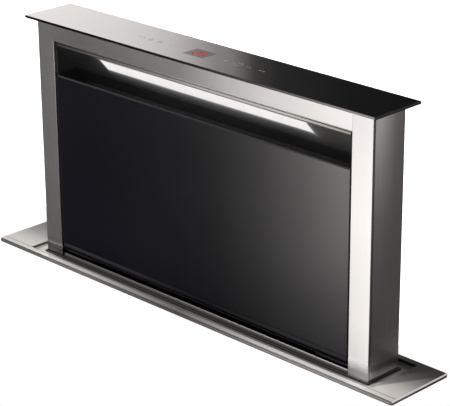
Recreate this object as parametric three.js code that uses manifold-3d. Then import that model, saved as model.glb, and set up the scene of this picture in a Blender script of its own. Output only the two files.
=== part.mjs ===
// A rising downdraft vent: a tower that lifts out of a worktop plate, carried by two screws in a
// casing under the worktop, with a blower box on the casing's front.
// Units are millimetres, +Z is up, the cook stands on the -Y side, and the feet stand at Z = 0.
import * as THREE from 'three';
import { mergeVertices } from 'three/addons/utils/BufferGeometryUtils.js';
import Module from 'manifold-3d';

// ---- driving dimensions: fits ----
const SEAT = 0.3; // gap left between pieces that rest on each other
const TURNING_FIT = 0.4; // gap round a shaft or pin that turns
const SLIDING_FIT = 0.5; // gap round a rail that a shoe slides on
const THROAT_FIT = 1.5; // gap between the tower and the opening that it rises through

// ---- driving dimensions: tower ----
const TOWER_LENGTH = 717;
const TOWER_DEPTH = 68;
const TOWER_RISE = 404; // underside of the cap above the plate, tower raised
const TOWER_TAIL = 118; // part of the tower that stays below the plate, tower raised
const COLUMN_WIDTH = 38;
const COLUMN_SHEET = 3;
const COLUMN_FOLD = 1.5;
const COLUMN_FOLD_DEPTH = 12;
const SIDE_SHEET = 1.2;
const SIDE_GROOVE = 2.2; // open groove between a column's face and its side panel
const BACK_SHEET = 1.2;
const TOP_RAIL_HEIGHT = 31.5;
const TOP_RAIL_FLANGE = 24;
const RAIL_SHEET = 1.5;
const LOWER_RAIL_TOP = 0;
const LOWER_RAIL_SET_BACK = 2;
const LOWER_RAIL_SHEET = 3;
const LOWER_RAIL_END_GAP = 3;
const LOWER_RAIL_TAB = 20;

// ---- driving dimensions: cap and controls ----
const CAP_THICKNESS = 4;
const CAP_END_OVERHANG = 15.5;
const CAP_FRONT_OVERHANG = 14.5;
const CAP_BACK_OVERHANG = 16.5;
const CAP_CORNER = 2;
const CAP_EDGE = 0.6;
const WINDOW_LENGTH = 41.4;
const WINDOW_DEPTH = 30.4;
const WINDOW_THICKNESS = 1.5;
const WINDOW_CENTRE_X = -14;
const WINDOW_CENTRE_Y = -3;
const BOARD_LENGTH = 300;
const BOARD_DEPTH = 20;
const BOARD_THICKNESS = 1.6;
const DISPLAY_LENGTH = 28;
const DISPLAY_INSET = 3.5;
const DISPLAY_DEPTH = 5;

// ---- driving dimensions: intake, light and filters ----
const GLASS_TOP = 314;
const GLASS_BOTTOM = 11;
const GLASS_THICKNESS = 4;
const GLASS_SET_BACK = 2.5;
const GLASS_END_GAP = 3;
const GLASS_CHAMFER = 2;
const FRAME_SHEET = 2;
const FRAME_END_GAP = 8.5;
const FRAME_MARGIN = 10;
const FRAME_BAR = 26;
const HINGE_Z = 6.5;
const HINGE_PIN_RADIUS = 2;
const HINGE_BARREL_RADIUS = 3;
const HINGE_BARREL_LENGTH = 60;
const LINER_SHEET = 1.2;
const LINER_END_GAP = 4.3;
const LIP_BELOW_TOP = 35.2; // the lip's top under the frame's top
const LIP_HEIGHT = 3.6;
const LIP_SET_BACK = 1.8;
const LINER_TOP_ROOM = 5.7; // between the liner's flange and the tower's top
const LINER_BACK_FLANGE = 26;
const SLOPE_DEGREES = 49;
const CHEEK_SET_BACK = 12;
const LED_LENGTH = 441;
const LED_WIDTH = 24.5;
const LED_THICKNESS = 2.4;
const LED_START = 5; // from the lip, along the slope
const LED_CENTRE_X = 7.5;
const LED_BOARD_INSET = 4;
const LED_BOARD_THICKNESS = 1.6;
const FILTER_THICKNESS = 10;
const FILTER_FRONT_Y = -14;
const FILTER_TOP = 277;
const FILTER_BOTTOM = 25;
const FILTER_MIDDLE_GAP = 4;
const FILTER_END_GAP = 12.5;
const FILTER_RIM = 9;
const FILTER_RECESS = 1.5;
const HANDLE_LENGTH = 70;
const HANDLE_HEIGHT = 7;
const HANDLE_DEPTH = 5;
const FILTER_RAIL_SHEET = 1.5;
const FILTER_LIP = 5;
const FILTER_SHELF_REACH = 9;
const FILTER_SKIRT = 14;
const HANDLE_BELOW_RIM = 6;

// ---- driving dimensions: worktop plate and recess ----
const RECESS_END_MARGIN = 21.5; // between the tower's end and the slot's edge
const RECESS_SIDE_MARGIN = 18;
const RECESS_DEPTH = 7.5;
const PLATE_END_RIM = 60;
const PLATE_SIDE_RIM = 12;
const PLATE_SHEET = 4.7;
const PLATE_CORNER = 4;
const PLATE_BEVEL = 1.8;
const PLATE_SHIFT = 11; // how far the tower stands off the plate's middle, towards +X
const GASKET_THICKNESS = 1.3;
const GASKET_INSET = 1;
const TRAY_SHEET = 1.5;
const SEAL_HEIGHT = 2.3;
const SEAL_WIDTH = 2.6;
const SEAL_TO_TOWER = 0.5;
const WORKTOP_THICKNESS = 38;

// ---- driving dimensions: casing and feet ----
const CASING_SHEET = 1.2;
const CASING_END_ROOM = 18.8; // between the slot's edge and the casing's side, inside
const CASING_LIFT = 30;
const CASING_FOLD = 14;
const MACHINE_SPACE = 86.2; // between the casing's floor and the carriage, tower lowered
const FOOT_SHEET = 3;
const FOOT_PLATE = 4;
const FOOT_WIDTH = 33;
const FOOT_HEIGHT = 120;
const CLAMP_SHEET = 2;
const CLAMP_REACH = 24;
const CLAMP_HEIGHT = 50;
const CLAMP_WIDTH = 50;

// ---- driving dimensions: lift ----
const SCREW_RADIUS = 6;
const SCREW_END = 2; // past the bearing
const SCREW_TO_SIDE = 19.8;
const SCREW_Y = -22;
const NUT_RADIUS = 11;
const NUT_HEIGHT = 20;
const BEARING_HEIGHT = 16;
const BEARING_BELOW_TRAY = 13;
const BEARING_REACH = 34.5;
const BEARING_DEPTH = 28;
const CUP_HEIGHT = 6;
const CUP_WALL = 3;
const RAIL_WIDTH = 10.3;
const RAIL_DEPTH = 16;
const RAIL_Y = 22;
const SHOE_HEIGHT = 40;
const SHOE_WALL = 6;
const SHOE_REACH = 4;
const CARRIAGE_DEPTH = 11.7;
const CARRIAGE_SIDE_BAR = 12;
const CARRIAGE_END_BAR = 28.5;
const CARRIAGE_TO_SIDE = 7.8;
const PULLEY_RADIUS = 16;
const PULLEY_WIDTH = 8;
const PULLEY_ABOVE_FLOOR = 8.8;
const BELT_THICKNESS = 1.6;
const MOTOR_X = -250;
const MOTOR_Y = 15;
const GEARBOX_LENGTH = 64;
const GEARBOX_HEIGHT = 26;
const GEARBOX_FRONT = 28;
const GEARBOX_ABOVE_BELT = 7;
const LIFT_MOTOR_RADIUS = 20;
const LIFT_MOTOR_LENGTH = 90;
const LIFT_MOTOR_BOSS = 5; // the end boss, and the motor's hold in the gearbox
const LIFT_SHAFT_RADIUS = 5;

// ---- driving dimensions: blower ----
const BLOWER_LENGTH = 330;
const BLOWER_DEPTH = 189.7;
const BLOWER_BOTTOM = 70;
const BLOWER_HEIGHT = 320;
const BLOWER_SHEET = 1.5;
const INLET_RADIUS = 85;
const INLET_Z = 230;
const INLET_RING_FLANGE = 14;
const INLET_RING_DEPTH = 20;
const INLET_THROAT_RADIUS = 70;
const IMPELLER_RADIUS = 100;
const IMPELLER_WIDTH = 80;
const IMPELLER_EYE_RADIUS = 75;
const IMPELLER_GAP = 2.5; // between the inlet ring's throat and the impeller
const IMPELLER_SHEET = 2.5;
const BLADE_COUNT = 14;
const BLADE_THICKNESS = 2;
const BLADE_CHORD = 26;
const BLADE_DEGREES = 40;
const HUB_RADIUS = 14;
const BLOWER_MOTOR_RADIUS = 55;
const BLOWER_MOTOR_DEPTH = 72;
const BLOWER_SHAFT_HOLD = 23; // into the impeller
const MOTOR_FLANGE_REACH = 10;
const MOTOR_FLANGE_SHEET = 3;
const BLOWER_SHAFT_RADIUS = 4;

// ---- driving dimensions: outlet ----
const SPIGOT_RADIUS = 75;
const SPIGOT_WALL = 2;
const SPIGOT_LENGTH = 60;
const SPIGOT_FLANGE = 13;
const SPIGOT_Y = -150;
const FLAP_CLEARANCE = 3;
const FLAP_SHEET = 1.5;
const FLAP_PIN_RADIUS = 2;
const FLAP_PIN_X = 24; // from the flange, along the spigot
const KNUCKLE_RADIUS = 4.5;
const KNUCKLE_LENGTH = 28;
const KNUCKLE_GAP = 1;

// ---- driving dimensions: electrics ----
const BOX_LENGTH = 170;
const BOX_DEPTH = 56;
const BOX_HEIGHT = 150;
const BOX_BOTTOM = 440;
const BOX_CENTRE_X = -265;
const BOX_WALL = 2;
const TERMINAL_LENGTH = 60;
const TERMINAL_DEPTH = 18;
const TERMINAL_HEIGHT = 16;
const TERMINAL_WAYS = 5;
const TERMINAL_ENTRY_RADIUS = 2.5;
const TERMINAL_ENTRY_DEPTH = 8;
const POWER_BOARD_LENGTH = 130;
const POWER_BOARD_HEIGHT = 80;
const POWER_BOARD_STANDOFF = 8;
const BOARD_TO_TERMINALS = 12;
const STANDOFF_RADIUS = 3;
const TRANSFORMER_SIZE = 40;
const TRANSFORMER_DEPTH = 26;
const CAPACITOR_RADIUS = 12;
const CAPACITOR_DEPTH = 28;
const GLAND_RADIUS = 11;
const GLAND_BORE = 5;
const GLAND_LENGTH = 22;
const GLAND_WALL = 3;
const GLAND_REACH = 6; // above the inside of the box's floor

// ---- places worked out from the driving dimensions ----
// The tower's middle is the origin of the unit's own X and Y.
const towerEnd = TOWER_LENGTH / 2;
const towerSide = TOWER_DEPTH / 2;
const slotEnd = towerEnd + RECESS_END_MARGIN;
const slotSide = towerSide + RECESS_SIDE_MARGIN;
const plateEnd = slotEnd + PLATE_END_RIM;
const plateSide = slotSide + PLATE_SIDE_RIM;
const sealBottom = -RECESS_DEPTH + SEAT;
const sealTop = sealBottom + SEAL_HEIGHT;
const travel = TOWER_RISE - sealTop - SEAT;
const casingEndInside = slotEnd + CASING_END_ROOM;
const casingEnd = casingEndInside + CASING_SHEET;
const casingSideInside = slotSide + TRAY_SHEET + SEAT;
const casingSide = casingSideInside + CASING_SHEET;
const floorTop = CASING_LIFT + CASING_SHEET;
const carriageTop = -TOWER_TAIL - SEAT;
const carriageBottom = carriageTop - CARRIAGE_DEPTH;
const plateTop = floorTop + MACHINE_SPACE + travel - carriageBottom;
const plateUnderside = plateTop - PLATE_SHEET;
const worktopTop = plateUnderside - GASKET_THICKNESS;
const casingTop = plateUnderside - SEAT;
const trayUnderside = plateTop - RECESS_DEPTH - TRAY_SHEET;
const screwX = casingEndInside - SCREW_TO_SIDE;
const pulleyBottom = floorTop + PULLEY_ABOVE_FLOOR;
const pulleyTop = pulleyBottom + PULLEY_WIDTH;
const bearingTop = trayUnderside - BEARING_BELOW_TRAY;
const bearingBottom = bearingTop - BEARING_HEIGHT;
const railInside = casingEndInside - SEAT - RAIL_WIDTH;
const blowerBack = -casingSide - SEAT;
const blowerFront = blowerBack - BLOWER_DEPTH;
const inletRingFront = blowerBack - INLET_RING_DEPTH;
const impellerBack = inletRingFront - IMPELLER_GAP;
const impellerFront = impellerBack - IMPELLER_WIDTH;
const spigotStart = BLOWER_LENGTH / 2 + SEAT;
const flapPinX = spigotStart + FLAP_PIN_X;
const spigotBore = SPIGOT_RADIUS - SPIGOT_WALL;
const boxBack = -casingSide - SEAT;
const boxFront = boxBack - BOX_DEPTH;
const depthMiddle = (blowerFront + plateSide) / 2;

// ---- shapes ----
const library = await Module();
library.setup();

function solidOf(geometry) {
  const bare = geometry.index ? geometry.clone() : geometry;
  bare.deleteAttribute('normal');
  bare.deleteAttribute('uv');
  const merged = mergeVertices(bare, 1e-4);
  const mesh = new library.Mesh({
    numProp: 3,
    vertProperties: new Float32Array(merged.attributes.position.array),
    triVerts: new Uint32Array(merged.index.array),
  });
  return new library.Manifold(mesh);
}

function geometryOf(solid) {
  const mesh = solid.getMesh();
  const geometry = new THREE.BufferGeometry();
  geometry.setAttribute('position', new THREE.BufferAttribute(mesh.vertProperties, 3));
  geometry.setIndex(new THREE.BufferAttribute(mesh.triVerts, 1));
  geometry.computeVertexNormals();
  return geometry;
}

function block([x0, x1], [y0, y1], [z0, z1]) {
  const geometry = new THREE.BoxGeometry(x1 - x0, y1 - y0, z1 - z0);
  geometry.translate((x0 + x1) / 2, (y0 + y1) / 2, (z0 + z1) / 2);
  return solidOf(geometry);
}

// Two blocks that mirror each other across X = 0, or across Y = 0.
function pairAcrossX([x0, x1], yRange, zRange) {
  return block([x0, x1], yRange, zRange).add(block([-x1, -x0], yRange, zRange));
}

function pairAcrossY(xRange, [y0, y1], zRange) {
  return block(xRange, [y0, y1], zRange).add(block(xRange, [-y1, -y0], zRange));
}

// Right-handed frames for a flat outline that is pushed along one axis.
const OUTLINE_FRAMES = {
  x: [new THREE.Vector3(0, 1, 0), new THREE.Vector3(0, 0, 1), new THREE.Vector3(1, 0, 0)],
  y: [new THREE.Vector3(0, 0, 1), new THREE.Vector3(1, 0, 0), new THREE.Vector3(0, 1, 0)],
  z: [new THREE.Vector3(1, 0, 0), new THREE.Vector3(0, 1, 0), new THREE.Vector3(0, 0, 1)],
};

// Along x an outline is drawn in (y, z), along y in (z, x), and along z in (x, y).
function pushed(outline, axis, from, to, arcSteps = 8) {
  const shape = Array.isArray(outline)
    ? new THREE.Shape(outline.map(([a, b]) => new THREE.Vector2(a, b)))
    : outline;
  const geometry = new THREE.ExtrudeGeometry(shape, {
    depth: to - from,
    bevelEnabled: false,
    curveSegments: arcSteps,
  });
  geometry.translate(0, 0, from);
  geometry.applyMatrix4(new THREE.Matrix4().makeBasis(...OUTLINE_FRAMES[axis]));
  return solidOf(geometry);
}

const ROD_TURNS = {
  x: (geometry) => geometry.rotateZ(-Math.PI / 2),
  y: (geometry) => geometry,
  z: (geometry) => geometry.rotateX(Math.PI / 2),
};

// A round rod, or a cone where the two ends differ; centre gives the two places across the axis.
function rod(axis, centre, [from, to], radius, sides = 24, endRadius = radius) {
  const geometry = new THREE.CylinderGeometry(endRadius, radius, to - from, sides);
  geometry.translate(0, (from + to) / 2, 0);
  ROD_TURNS[axis](geometry);
  const across = { x: [0, ...centre], y: [centre[0], 0, centre[1]], z: [...centre, 0] }[axis];
  geometry.translate(...across);
  return solidOf(geometry);
}

function pipe(axis, centre, range, outer, inner, sides = 24) {
  const [from, to] = range;
  return rod(axis, centre, range, outer, sides).subtract(
    rod(axis, centre, [from - 1, to + 1], inner, sides),
  );
}

function roundedRectangle(halfLength, halfDepth, radius, [x, y] = [0, 0]) {
  const shape = new THREE.Shape();
  const right = x + halfLength - radius;
  const left = x - halfLength + radius;
  const far = y + halfDepth - radius;
  const near = y - halfDepth + radius;
  shape.absarc(right, far, radius, 0, Math.PI / 2);
  shape.absarc(left, far, radius, Math.PI / 2, Math.PI);
  shape.absarc(left, near, radius, Math.PI, 1.5 * Math.PI);
  shape.absarc(right, near, radius, 1.5 * Math.PI, 2 * Math.PI);
  return shape;
}

// A plate with rounded corners whose top edge is broken by a chamfer.
function chamferedPlate(halfLength, halfDepth, corner, [bottom, top], edge, centre = [0, 0]) {
  const outline = roundedRectangle(halfLength - edge, halfDepth - edge, corner - edge, centre);
  const geometry = new THREE.ExtrudeGeometry(outline, {
    depth: top - bottom - edge,
    bevelEnabled: true,
    bevelSegments: 1,
    bevelSize: edge,
    bevelThickness: edge,
    curveSegments: 5,
  });
  geometry.translate(0, 0, bottom);
  const beyond = [-halfLength * 2, halfLength * 2];
  const below = block(beyond, beyond, [bottom - edge * 2, bottom]);
  return solidOf(geometry).subtract(below);
}

// ---- finishes ----
const finish = (colour, roughness, metalness) => ({ color: colour, roughness, metalness });
const FINISHES = {
  brushedSteel: finish(0xc6c4be, 0.34, 1),
  plateSteel: finish(0xb4afa8, 0.36, 1),
  darkSteel: finish(0x5c5a56, 0.38, 1),
  zinc: finish(0x9c9d9e, 0.45, 1),
  blackGlass: finish(0x101014, 0.06, 0),
  tintedWindow: finish(0x6e6c6a, 0.15, 0),
  blackPaint: finish(0x1c1c1e, 0.5, 0.1),
  blackRubber: finish(0x141414, 0.8, 0),
  greyPlastic: finish(0x55585b, 0.55, 0),
  blackPlastic: finish(0x1a1a1b, 0.5, 0),
  whiteDiffuser: finish(0xf4f2ea, 0.4, 0),
  greenBoard: finish(0x1f5a35, 0.5, 0),
  filterMesh: finish(0xb9bbbc, 0.5, 1),
  turnedSteel: finish(0x8f9294, 0.3, 1),
  bronze: finish(0xa67c43, 0.35, 1),
  whitePlastic: finish(0xe8e6e0, 0.5, 0),
};

function piece(name, solid, finishName) {
  const material = new THREE.MeshStandardMaterial(FINISHES[finishName]);
  const mesh = new THREE.Mesh(geometryOf(solid), material);
  mesh.name = name;
  return mesh;
}

const SIDES = [['left', -1], ['right', 1]];

// The range of x between two distances from the middle, on the left or the right.
const outward = (side, near, far) => (side > 0 ? [near, far] : [-far, -near]);

// ---- worktop plate and recess ----
function trimPlate() {
  const plate = chamferedPlate(
    plateEnd, plateSide, PLATE_CORNER, [plateUnderside, plateTop], PLATE_BEVEL, [-PLATE_SHIFT, 0],
  );
  const slot = block([-slotEnd, slotEnd], [-slotSide, slotSide], [worktopTop, plateTop + 1]);
  return piece('trim_plate', plate.subtract(slot), 'plateSteel');
}

function flangeGasket() {
  const end = plateEnd - GASKET_INSET;
  const side = plateSide - GASKET_INSET;
  const range = [worktopTop, plateUnderside];
  const outline = roundedRectangle(end, side, PLATE_CORNER - GASKET_INSET, [-PLATE_SHIFT, 0]);
  const innerEnd = casingEnd + GASKET_INSET;
  const innerSide = casingSide + GASKET_INSET;
  const hole = block([-innerEnd, innerEnd], [-innerSide, innerSide], [worktopTop - 1, plateTop]);
  const ring = pushed(outline, 'z', range[0], range[1], 4).subtract(hole);
  return piece('flange_gasket', ring, 'blackRubber');
}

function recessTray() {
  const end = slotEnd + TRAY_SHEET;
  const side = slotSide + TRAY_SHEET;
  const outer = block([-end, end], [-side, side], [trayUnderside, casingTop]);
  const inside = block(
    [-slotEnd, slotEnd], [-slotSide, slotSide], [trayUnderside + TRAY_SHEET, plateTop],
  );
  const throatEnd = towerEnd + THROAT_FIT;
  const throatSide = towerSide + THROAT_FIT;
  const throat = block([-throatEnd, throatEnd], [-throatSide, throatSide], [0, plateTop]);
  return piece('recess_tray', outer.subtract(inside).subtract(throat), 'brushedSteel');
}

function wiperSeal() {
  const end = towerEnd + SEAL_TO_TOWER;
  const side = towerSide + SEAL_TO_TOWER;
  const bottom = plateTop + sealBottom;
  const top = plateTop + sealTop;
  const reach = [end + SEAL_WIDTH, side + SEAL_WIDTH];
  const outer = block([-reach[0], reach[0]], [-reach[1], reach[1]], [bottom, top]);
  const hole = block([-end, end], [-side, side], [bottom - 1, top + 1]);
  return piece('wiper_seal', outer.subtract(hole), 'blackRubber');
}

// ---- casing ----
// Front and back panels are flat sheets; their ends lap the folded edges of the two sides.
function casingPanel(side) {
  const [near, far] = outward(side, casingSideInside, casingSide);
  return block([-casingEnd, casingEnd], [near, far], [CASING_LIFT, casingTop]);
}

function casingFrontPanel() {
  const hole = rod('y', [0, INLET_Z], [-casingSide - 1, -casingSideInside + 1], INLET_RADIUS, 40);
  return piece('casing_front_panel', casingPanel(-1).subtract(hole), 'zinc');
}

function casingBackPanel() {
  return piece('casing_back_panel', casingPanel(1), 'zinc');
}

function casingSidePanel(name, side) {
  const reach = casingSideInside - SEAT;
  const zRange = [CASING_LIFT, casingTop];
  const foldTop = trayUnderside - SEAT;
  const web = block(outward(side, casingEndInside, casingEnd), [-reach, reach], zRange);
  const folds = pairAcrossY(
    outward(side, casingEnd - CASING_FOLD, casingEnd), [reach - CASING_SHEET, reach],
    [floorTop + SEAT, foldTop],
  );
  return piece(`casing_${name}_side`, web.add(folds), 'zinc');
}

// The floor carries a cup under each screw.
function casingFloor() {
  const end = casingEndInside - SEAT;
  const side = casingSideInside - SEAT;
  let floor = block([-end, end], [-side, side], [CASING_LIFT, floorTop]);
  for (const [, across] of SIDES) {
    const centre = [across * screwX, SCREW_Y];
    const bore = SCREW_RADIUS + TURNING_FIT;
    const cup = pipe('z', centre, [CASING_LIFT, floorTop + CUP_HEIGHT], bore + CUP_WALL, bore);
    const pad = rod('z', centre, [CASING_LIFT, floorTop], bore + 1);
    floor = floor.add(cup).add(pad);
  }
  return piece('casing_floor', floor, 'zinc');
}

function floorBracket(name, side) {
  const uprightInside = casingEnd + SEAT;
  const uprightOutside = uprightInside + FOOT_SHEET;
  const inside = uprightOutside - FOOT_WIDTH;
  const foot = block(outward(side, inside, uprightOutside), [blowerFront, casingSide], [0, FOOT_PLATE]);
  const upright = block(
    outward(side, uprightInside, uprightOutside), [-casingSideInside, casingSideInside],
    [0, FOOT_HEIGHT],
  );
  const riser = block(
    outward(side, inside, uprightOutside), [-casingSideInside, casingSideInside],
    [0, CASING_LIFT - SEAT],
  );
  return piece(`floor_bracket_${name}`, foot.add(upright).add(riser), 'zinc');
}

// An angle on each end of the casing that draws the plate down onto the worktop.
function worktopClamp(name, side) {
  const inside = casingEnd + SEAT;
  const top = worktopTop - WORKTOP_THICKNESS - SEAT;
  const yRange = [-CLAMP_WIDTH / 2, CLAMP_WIDTH / 2];
  const leg = block(outward(side, inside, inside + CLAMP_SHEET), yRange, [top - CLAMP_HEIGHT, top]);
  const wing = block(outward(side, inside, inside + CLAMP_REACH), yRange, [top - CLAMP_SHEET, top]);
  return piece(`worktop_clamp_${name}`, leg.add(wing), 'zinc');
}

// ---- lift machinery ----
function guideRail(name, side) {
  const xRange = outward(side, railInside, railInside + RAIL_WIDTH);
  const yRange = [RAIL_Y - RAIL_DEPTH / 2, RAIL_Y + RAIL_DEPTH / 2];
  const rail = block(xRange, yRange, [floorTop + SEAT, bearingTop + SEAT]);
  return piece(`guide_rail_${name}`, rail, 'turnedSteel');
}

function screwBearing(name, side) {
  const outside = casingEndInside - SEAT;
  const yRange = [SCREW_Y - BEARING_DEPTH / 2, SCREW_Y + BEARING_DEPTH / 2];
  const zRange = [bearingBottom, bearingTop];
  const body = block(outward(side, outside - BEARING_REACH, outside), yRange, zRange);
  const boreZ = [bearingBottom - 1, bearingTop + 1];
  const bore = rod('z', [side * screwX, SCREW_Y], boreZ, SCREW_RADIUS + TURNING_FIT);
  return piece(`screw_bearing_${name}`, body.subtract(bore), 'blackPlastic');
}

function leadScrew(name, side) {
  const zRange = [floorTop + SEAT, bearingTop + SCREW_END];
  const screw = rod('z', [side * screwX, SCREW_Y], zRange, SCREW_RADIUS);
  return piece(`lead_screw_${name}`, screw, 'turnedSteel');
}

function screwPulley(name, side) {
  const centre = [side * screwX, SCREW_Y];
  const bore = SCREW_RADIUS + SEAT;
  const pulley = pipe('z', centre, [pulleyBottom, pulleyTop], PULLEY_RADIUS, bore);
  return piece(`screw_pulley_${name}`, pulley, 'turnedSteel');
}

// The motor's own pulley is turned in one piece with the gearbox's output shaft.
function motorPulley() {
  const centre = [MOTOR_X, MOTOR_Y];
  const wheel = rod('z', centre, [pulleyBottom, pulleyTop], PULLEY_RADIUS);
  const shaftTop = pulleyTop + GEARBOX_ABOVE_BELT + GEARBOX_HEIGHT / 2;
  const shaft = rod('z', centre, [pulleyBottom, shaftTop], LIFT_SHAFT_RADIUS);
  return piece('motor_pulley', wheel.add(shaft), 'turnedSteel');
}

function liftGearmotor() {
  const bottom = pulleyTop + GEARBOX_ABOVE_BELT;
  const top = bottom + GEARBOX_HEIGHT;
  const xRange = [MOTOR_X - GEARBOX_LENGTH / 2, MOTOR_X + GEARBOX_LENGTH / 2];
  const back = casingSideInside - SEAT;
  const gearbox = block(xRange, [MOTOR_Y - GEARBOX_FRONT, back], [bottom, top]);
  const centre = [back - LIFT_MOTOR_RADIUS - 1, bottom + LIFT_MOTOR_RADIUS - 1];
  const end = xRange[1] + LIFT_MOTOR_LENGTH;
  const motor = rod('x', centre, [xRange[1] - LIFT_MOTOR_BOSS, end], LIFT_MOTOR_RADIUS);
  const boss = rod('x', centre, [end - 1, end + LIFT_MOTOR_BOSS], LIFT_MOTOR_RADIUS / 2, 16);
  const bore = rod(
    'z', [MOTOR_X, MOTOR_Y], [bottom - 1, bottom + GEARBOX_HEIGHT / 2 + SEAT],
    LIFT_SHAFT_RADIUS + TURNING_FIT,
  );
  return piece('lift_gearmotor', gearbox.add(motor).add(boss).subtract(bore), 'blackPaint');
}

// The belt's outline: arcs of one radius round the three pulleys, joined by straight runs.
function beltOutline(radius) {
  const centres = [[-screwX, SCREW_Y], [screwX, SCREW_Y], [MOTOR_X, MOTOR_Y]];
  const outline = new THREE.Shape();
  centres.forEach(([x, y], index) => {
    const [beforeX, beforeY] = centres[(index + 2) % 3];
    const [afterX, afterY] = centres[(index + 1) % 3];
    const start = Math.atan2(y - beforeY, x - beforeX) - Math.PI / 2;
    const end = Math.atan2(afterY - y, afterX - x) - Math.PI / 2;
    outline.absarc(x, y, radius, start, end);
  });
  return outline;
}

function driveBelt() {
  const inner = PULLEY_RADIUS + SEAT;
  const outer = pushed(beltOutline(inner + BELT_THICKNESS), 'z', pulleyBottom, pulleyTop, 16);
  const hole = pushed(beltOutline(inner), 'z', pulleyBottom - 1, pulleyTop + 1, 16);
  return piece('drive_belt', outer.subtract(hole), 'blackRubber');
}

// ---- blower ----
function blowerHousing() {
  const end = BLOWER_LENGTH / 2;
  const top = BLOWER_BOTTOM + BLOWER_HEIGHT;
  const outer = block([-end, end], [blowerFront, blowerBack], [BLOWER_BOTTOM, top]);
  const inside = block(
    [-end + BLOWER_SHEET, end - BLOWER_SHEET], [blowerFront + BLOWER_SHEET, blowerBack + 1],
    [BLOWER_BOTTOM + BLOWER_SHEET, top - BLOWER_SHEET],
  );
  const outlet = rod('x', [SPIGOT_Y, INLET_Z], [0, end + 1], spigotBore, 40);
  return piece('blower_housing', outer.subtract(inside).subtract(outlet), 'zinc');
}

// A flange against the casing, and a cone that leads the air into the impeller's eye.
function inletRing() {
  const centre = [0, INLET_Z];
  const flangeFront = blowerBack - BLOWER_SHEET;
  const outerRadius = INLET_RADIUS + INLET_RING_FLANGE;
  const flange = rod('y', centre, [flangeFront, blowerBack], outerRadius, 40);
  const throat = INLET_THROAT_RADIUS;
  const cone = rod('y', centre, [inletRingFront, flangeFront], throat + BLOWER_SHEET, 40, INLET_RADIUS);
  const bore = rod(
    'y', centre, [inletRingFront - 0.01, blowerBack + 0.01], throat, 40, INLET_RADIUS - BLOWER_SHEET,
  );
  return piece('inlet_ring', flange.add(cone).subtract(bore), 'blackPlastic');
}

function impellerBlade(index) {
  const blade = new THREE.BoxGeometry(BLADE_CHORD, IMPELLER_WIDTH - IMPELLER_SHEET, BLADE_THICKNESS);
  blade.rotateY(THREE.MathUtils.degToRad(BLADE_DEGREES));
  blade.translate((IMPELLER_RADIUS + IMPELLER_EYE_RADIUS) / 2 - 1, 0, 0);
  blade.rotateY((index * 2 * Math.PI) / BLADE_COUNT);
  blade.translate(0, (impellerFront + impellerBack) / 2, INLET_Z);
  return solidOf(blade);
}

function impeller() {
  const centre = [0, INLET_Z];
  const discY = [impellerFront, impellerFront + IMPELLER_SHEET];
  const backDisc = rod('y', centre, discY, IMPELLER_RADIUS, 40);
  const frontRing = pipe(
    'y', centre, [impellerBack - IMPELLER_SHEET, impellerBack], IMPELLER_RADIUS, IMPELLER_EYE_RADIUS, 40,
  );
  const hub = rod('y', centre, [impellerFront, impellerFront + IMPELLER_WIDTH / 4], HUB_RADIUS);
  let wheel = backDisc.add(frontRing).add(hub);
  for (let index = 0; index < BLADE_COUNT; index += 1) {
    wheel = wheel.add(impellerBlade(index));
  }
  const bore = rod(
    'y', centre, [impellerFront - 1, impellerBack], BLOWER_SHAFT_RADIUS + TURNING_FIT, 16,
  );
  return piece('impeller', wheel.subtract(bore), 'blackPlastic');
}

function blowerMotor() {
  const centre = [0, INLET_Z];
  const front = blowerFront + BLOWER_SHEET + SEAT;
  const back = front + BLOWER_MOTOR_DEPTH;
  const body = rod('y', centre, [front, back], BLOWER_MOTOR_RADIUS, 32);
  const flangeRadius = BLOWER_MOTOR_RADIUS + MOTOR_FLANGE_REACH;
  const flange = rod('y', centre, [front, front + MOTOR_FLANGE_SHEET], flangeRadius, 32);
  const shaft = rod(
    'y', centre, [back - 1, impellerFront + BLOWER_SHAFT_HOLD], BLOWER_SHAFT_RADIUS, 16,
  );
  return piece('blower_motor', body.add(flange).add(shaft), 'blackPaint');
}

// ---- outlet and its two non-return flaps ----
function outletSpigot() {
  const centre = [SPIGOT_Y, INLET_Z];
  const end = spigotStart + SPIGOT_LENGTH;
  const tube = rod('x', centre, [spigotStart, end], SPIGOT_RADIUS, 40);
  const flangeX = [spigotStart, spigotStart + SPIGOT_WALL];
  const flange = rod('x', centre, flangeX, SPIGOT_RADIUS + SPIGOT_FLANGE, 40);
  const bore = rod('x', centre, [spigotStart - 1, end + 1], spigotBore, 40);
  const pinReach = SPIGOT_RADIUS - SPIGOT_WALL / 2;
  const pinZ = [INLET_Z - pinReach, INLET_Z + pinReach];
  const pin = rod('z', [flapPinX, SPIGOT_Y], pinZ, FLAP_PIN_RADIUS, 16);
  return piece('outlet_spigot', tube.add(flange).subtract(bore).add(pin), 'greyPlastic');
}

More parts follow.
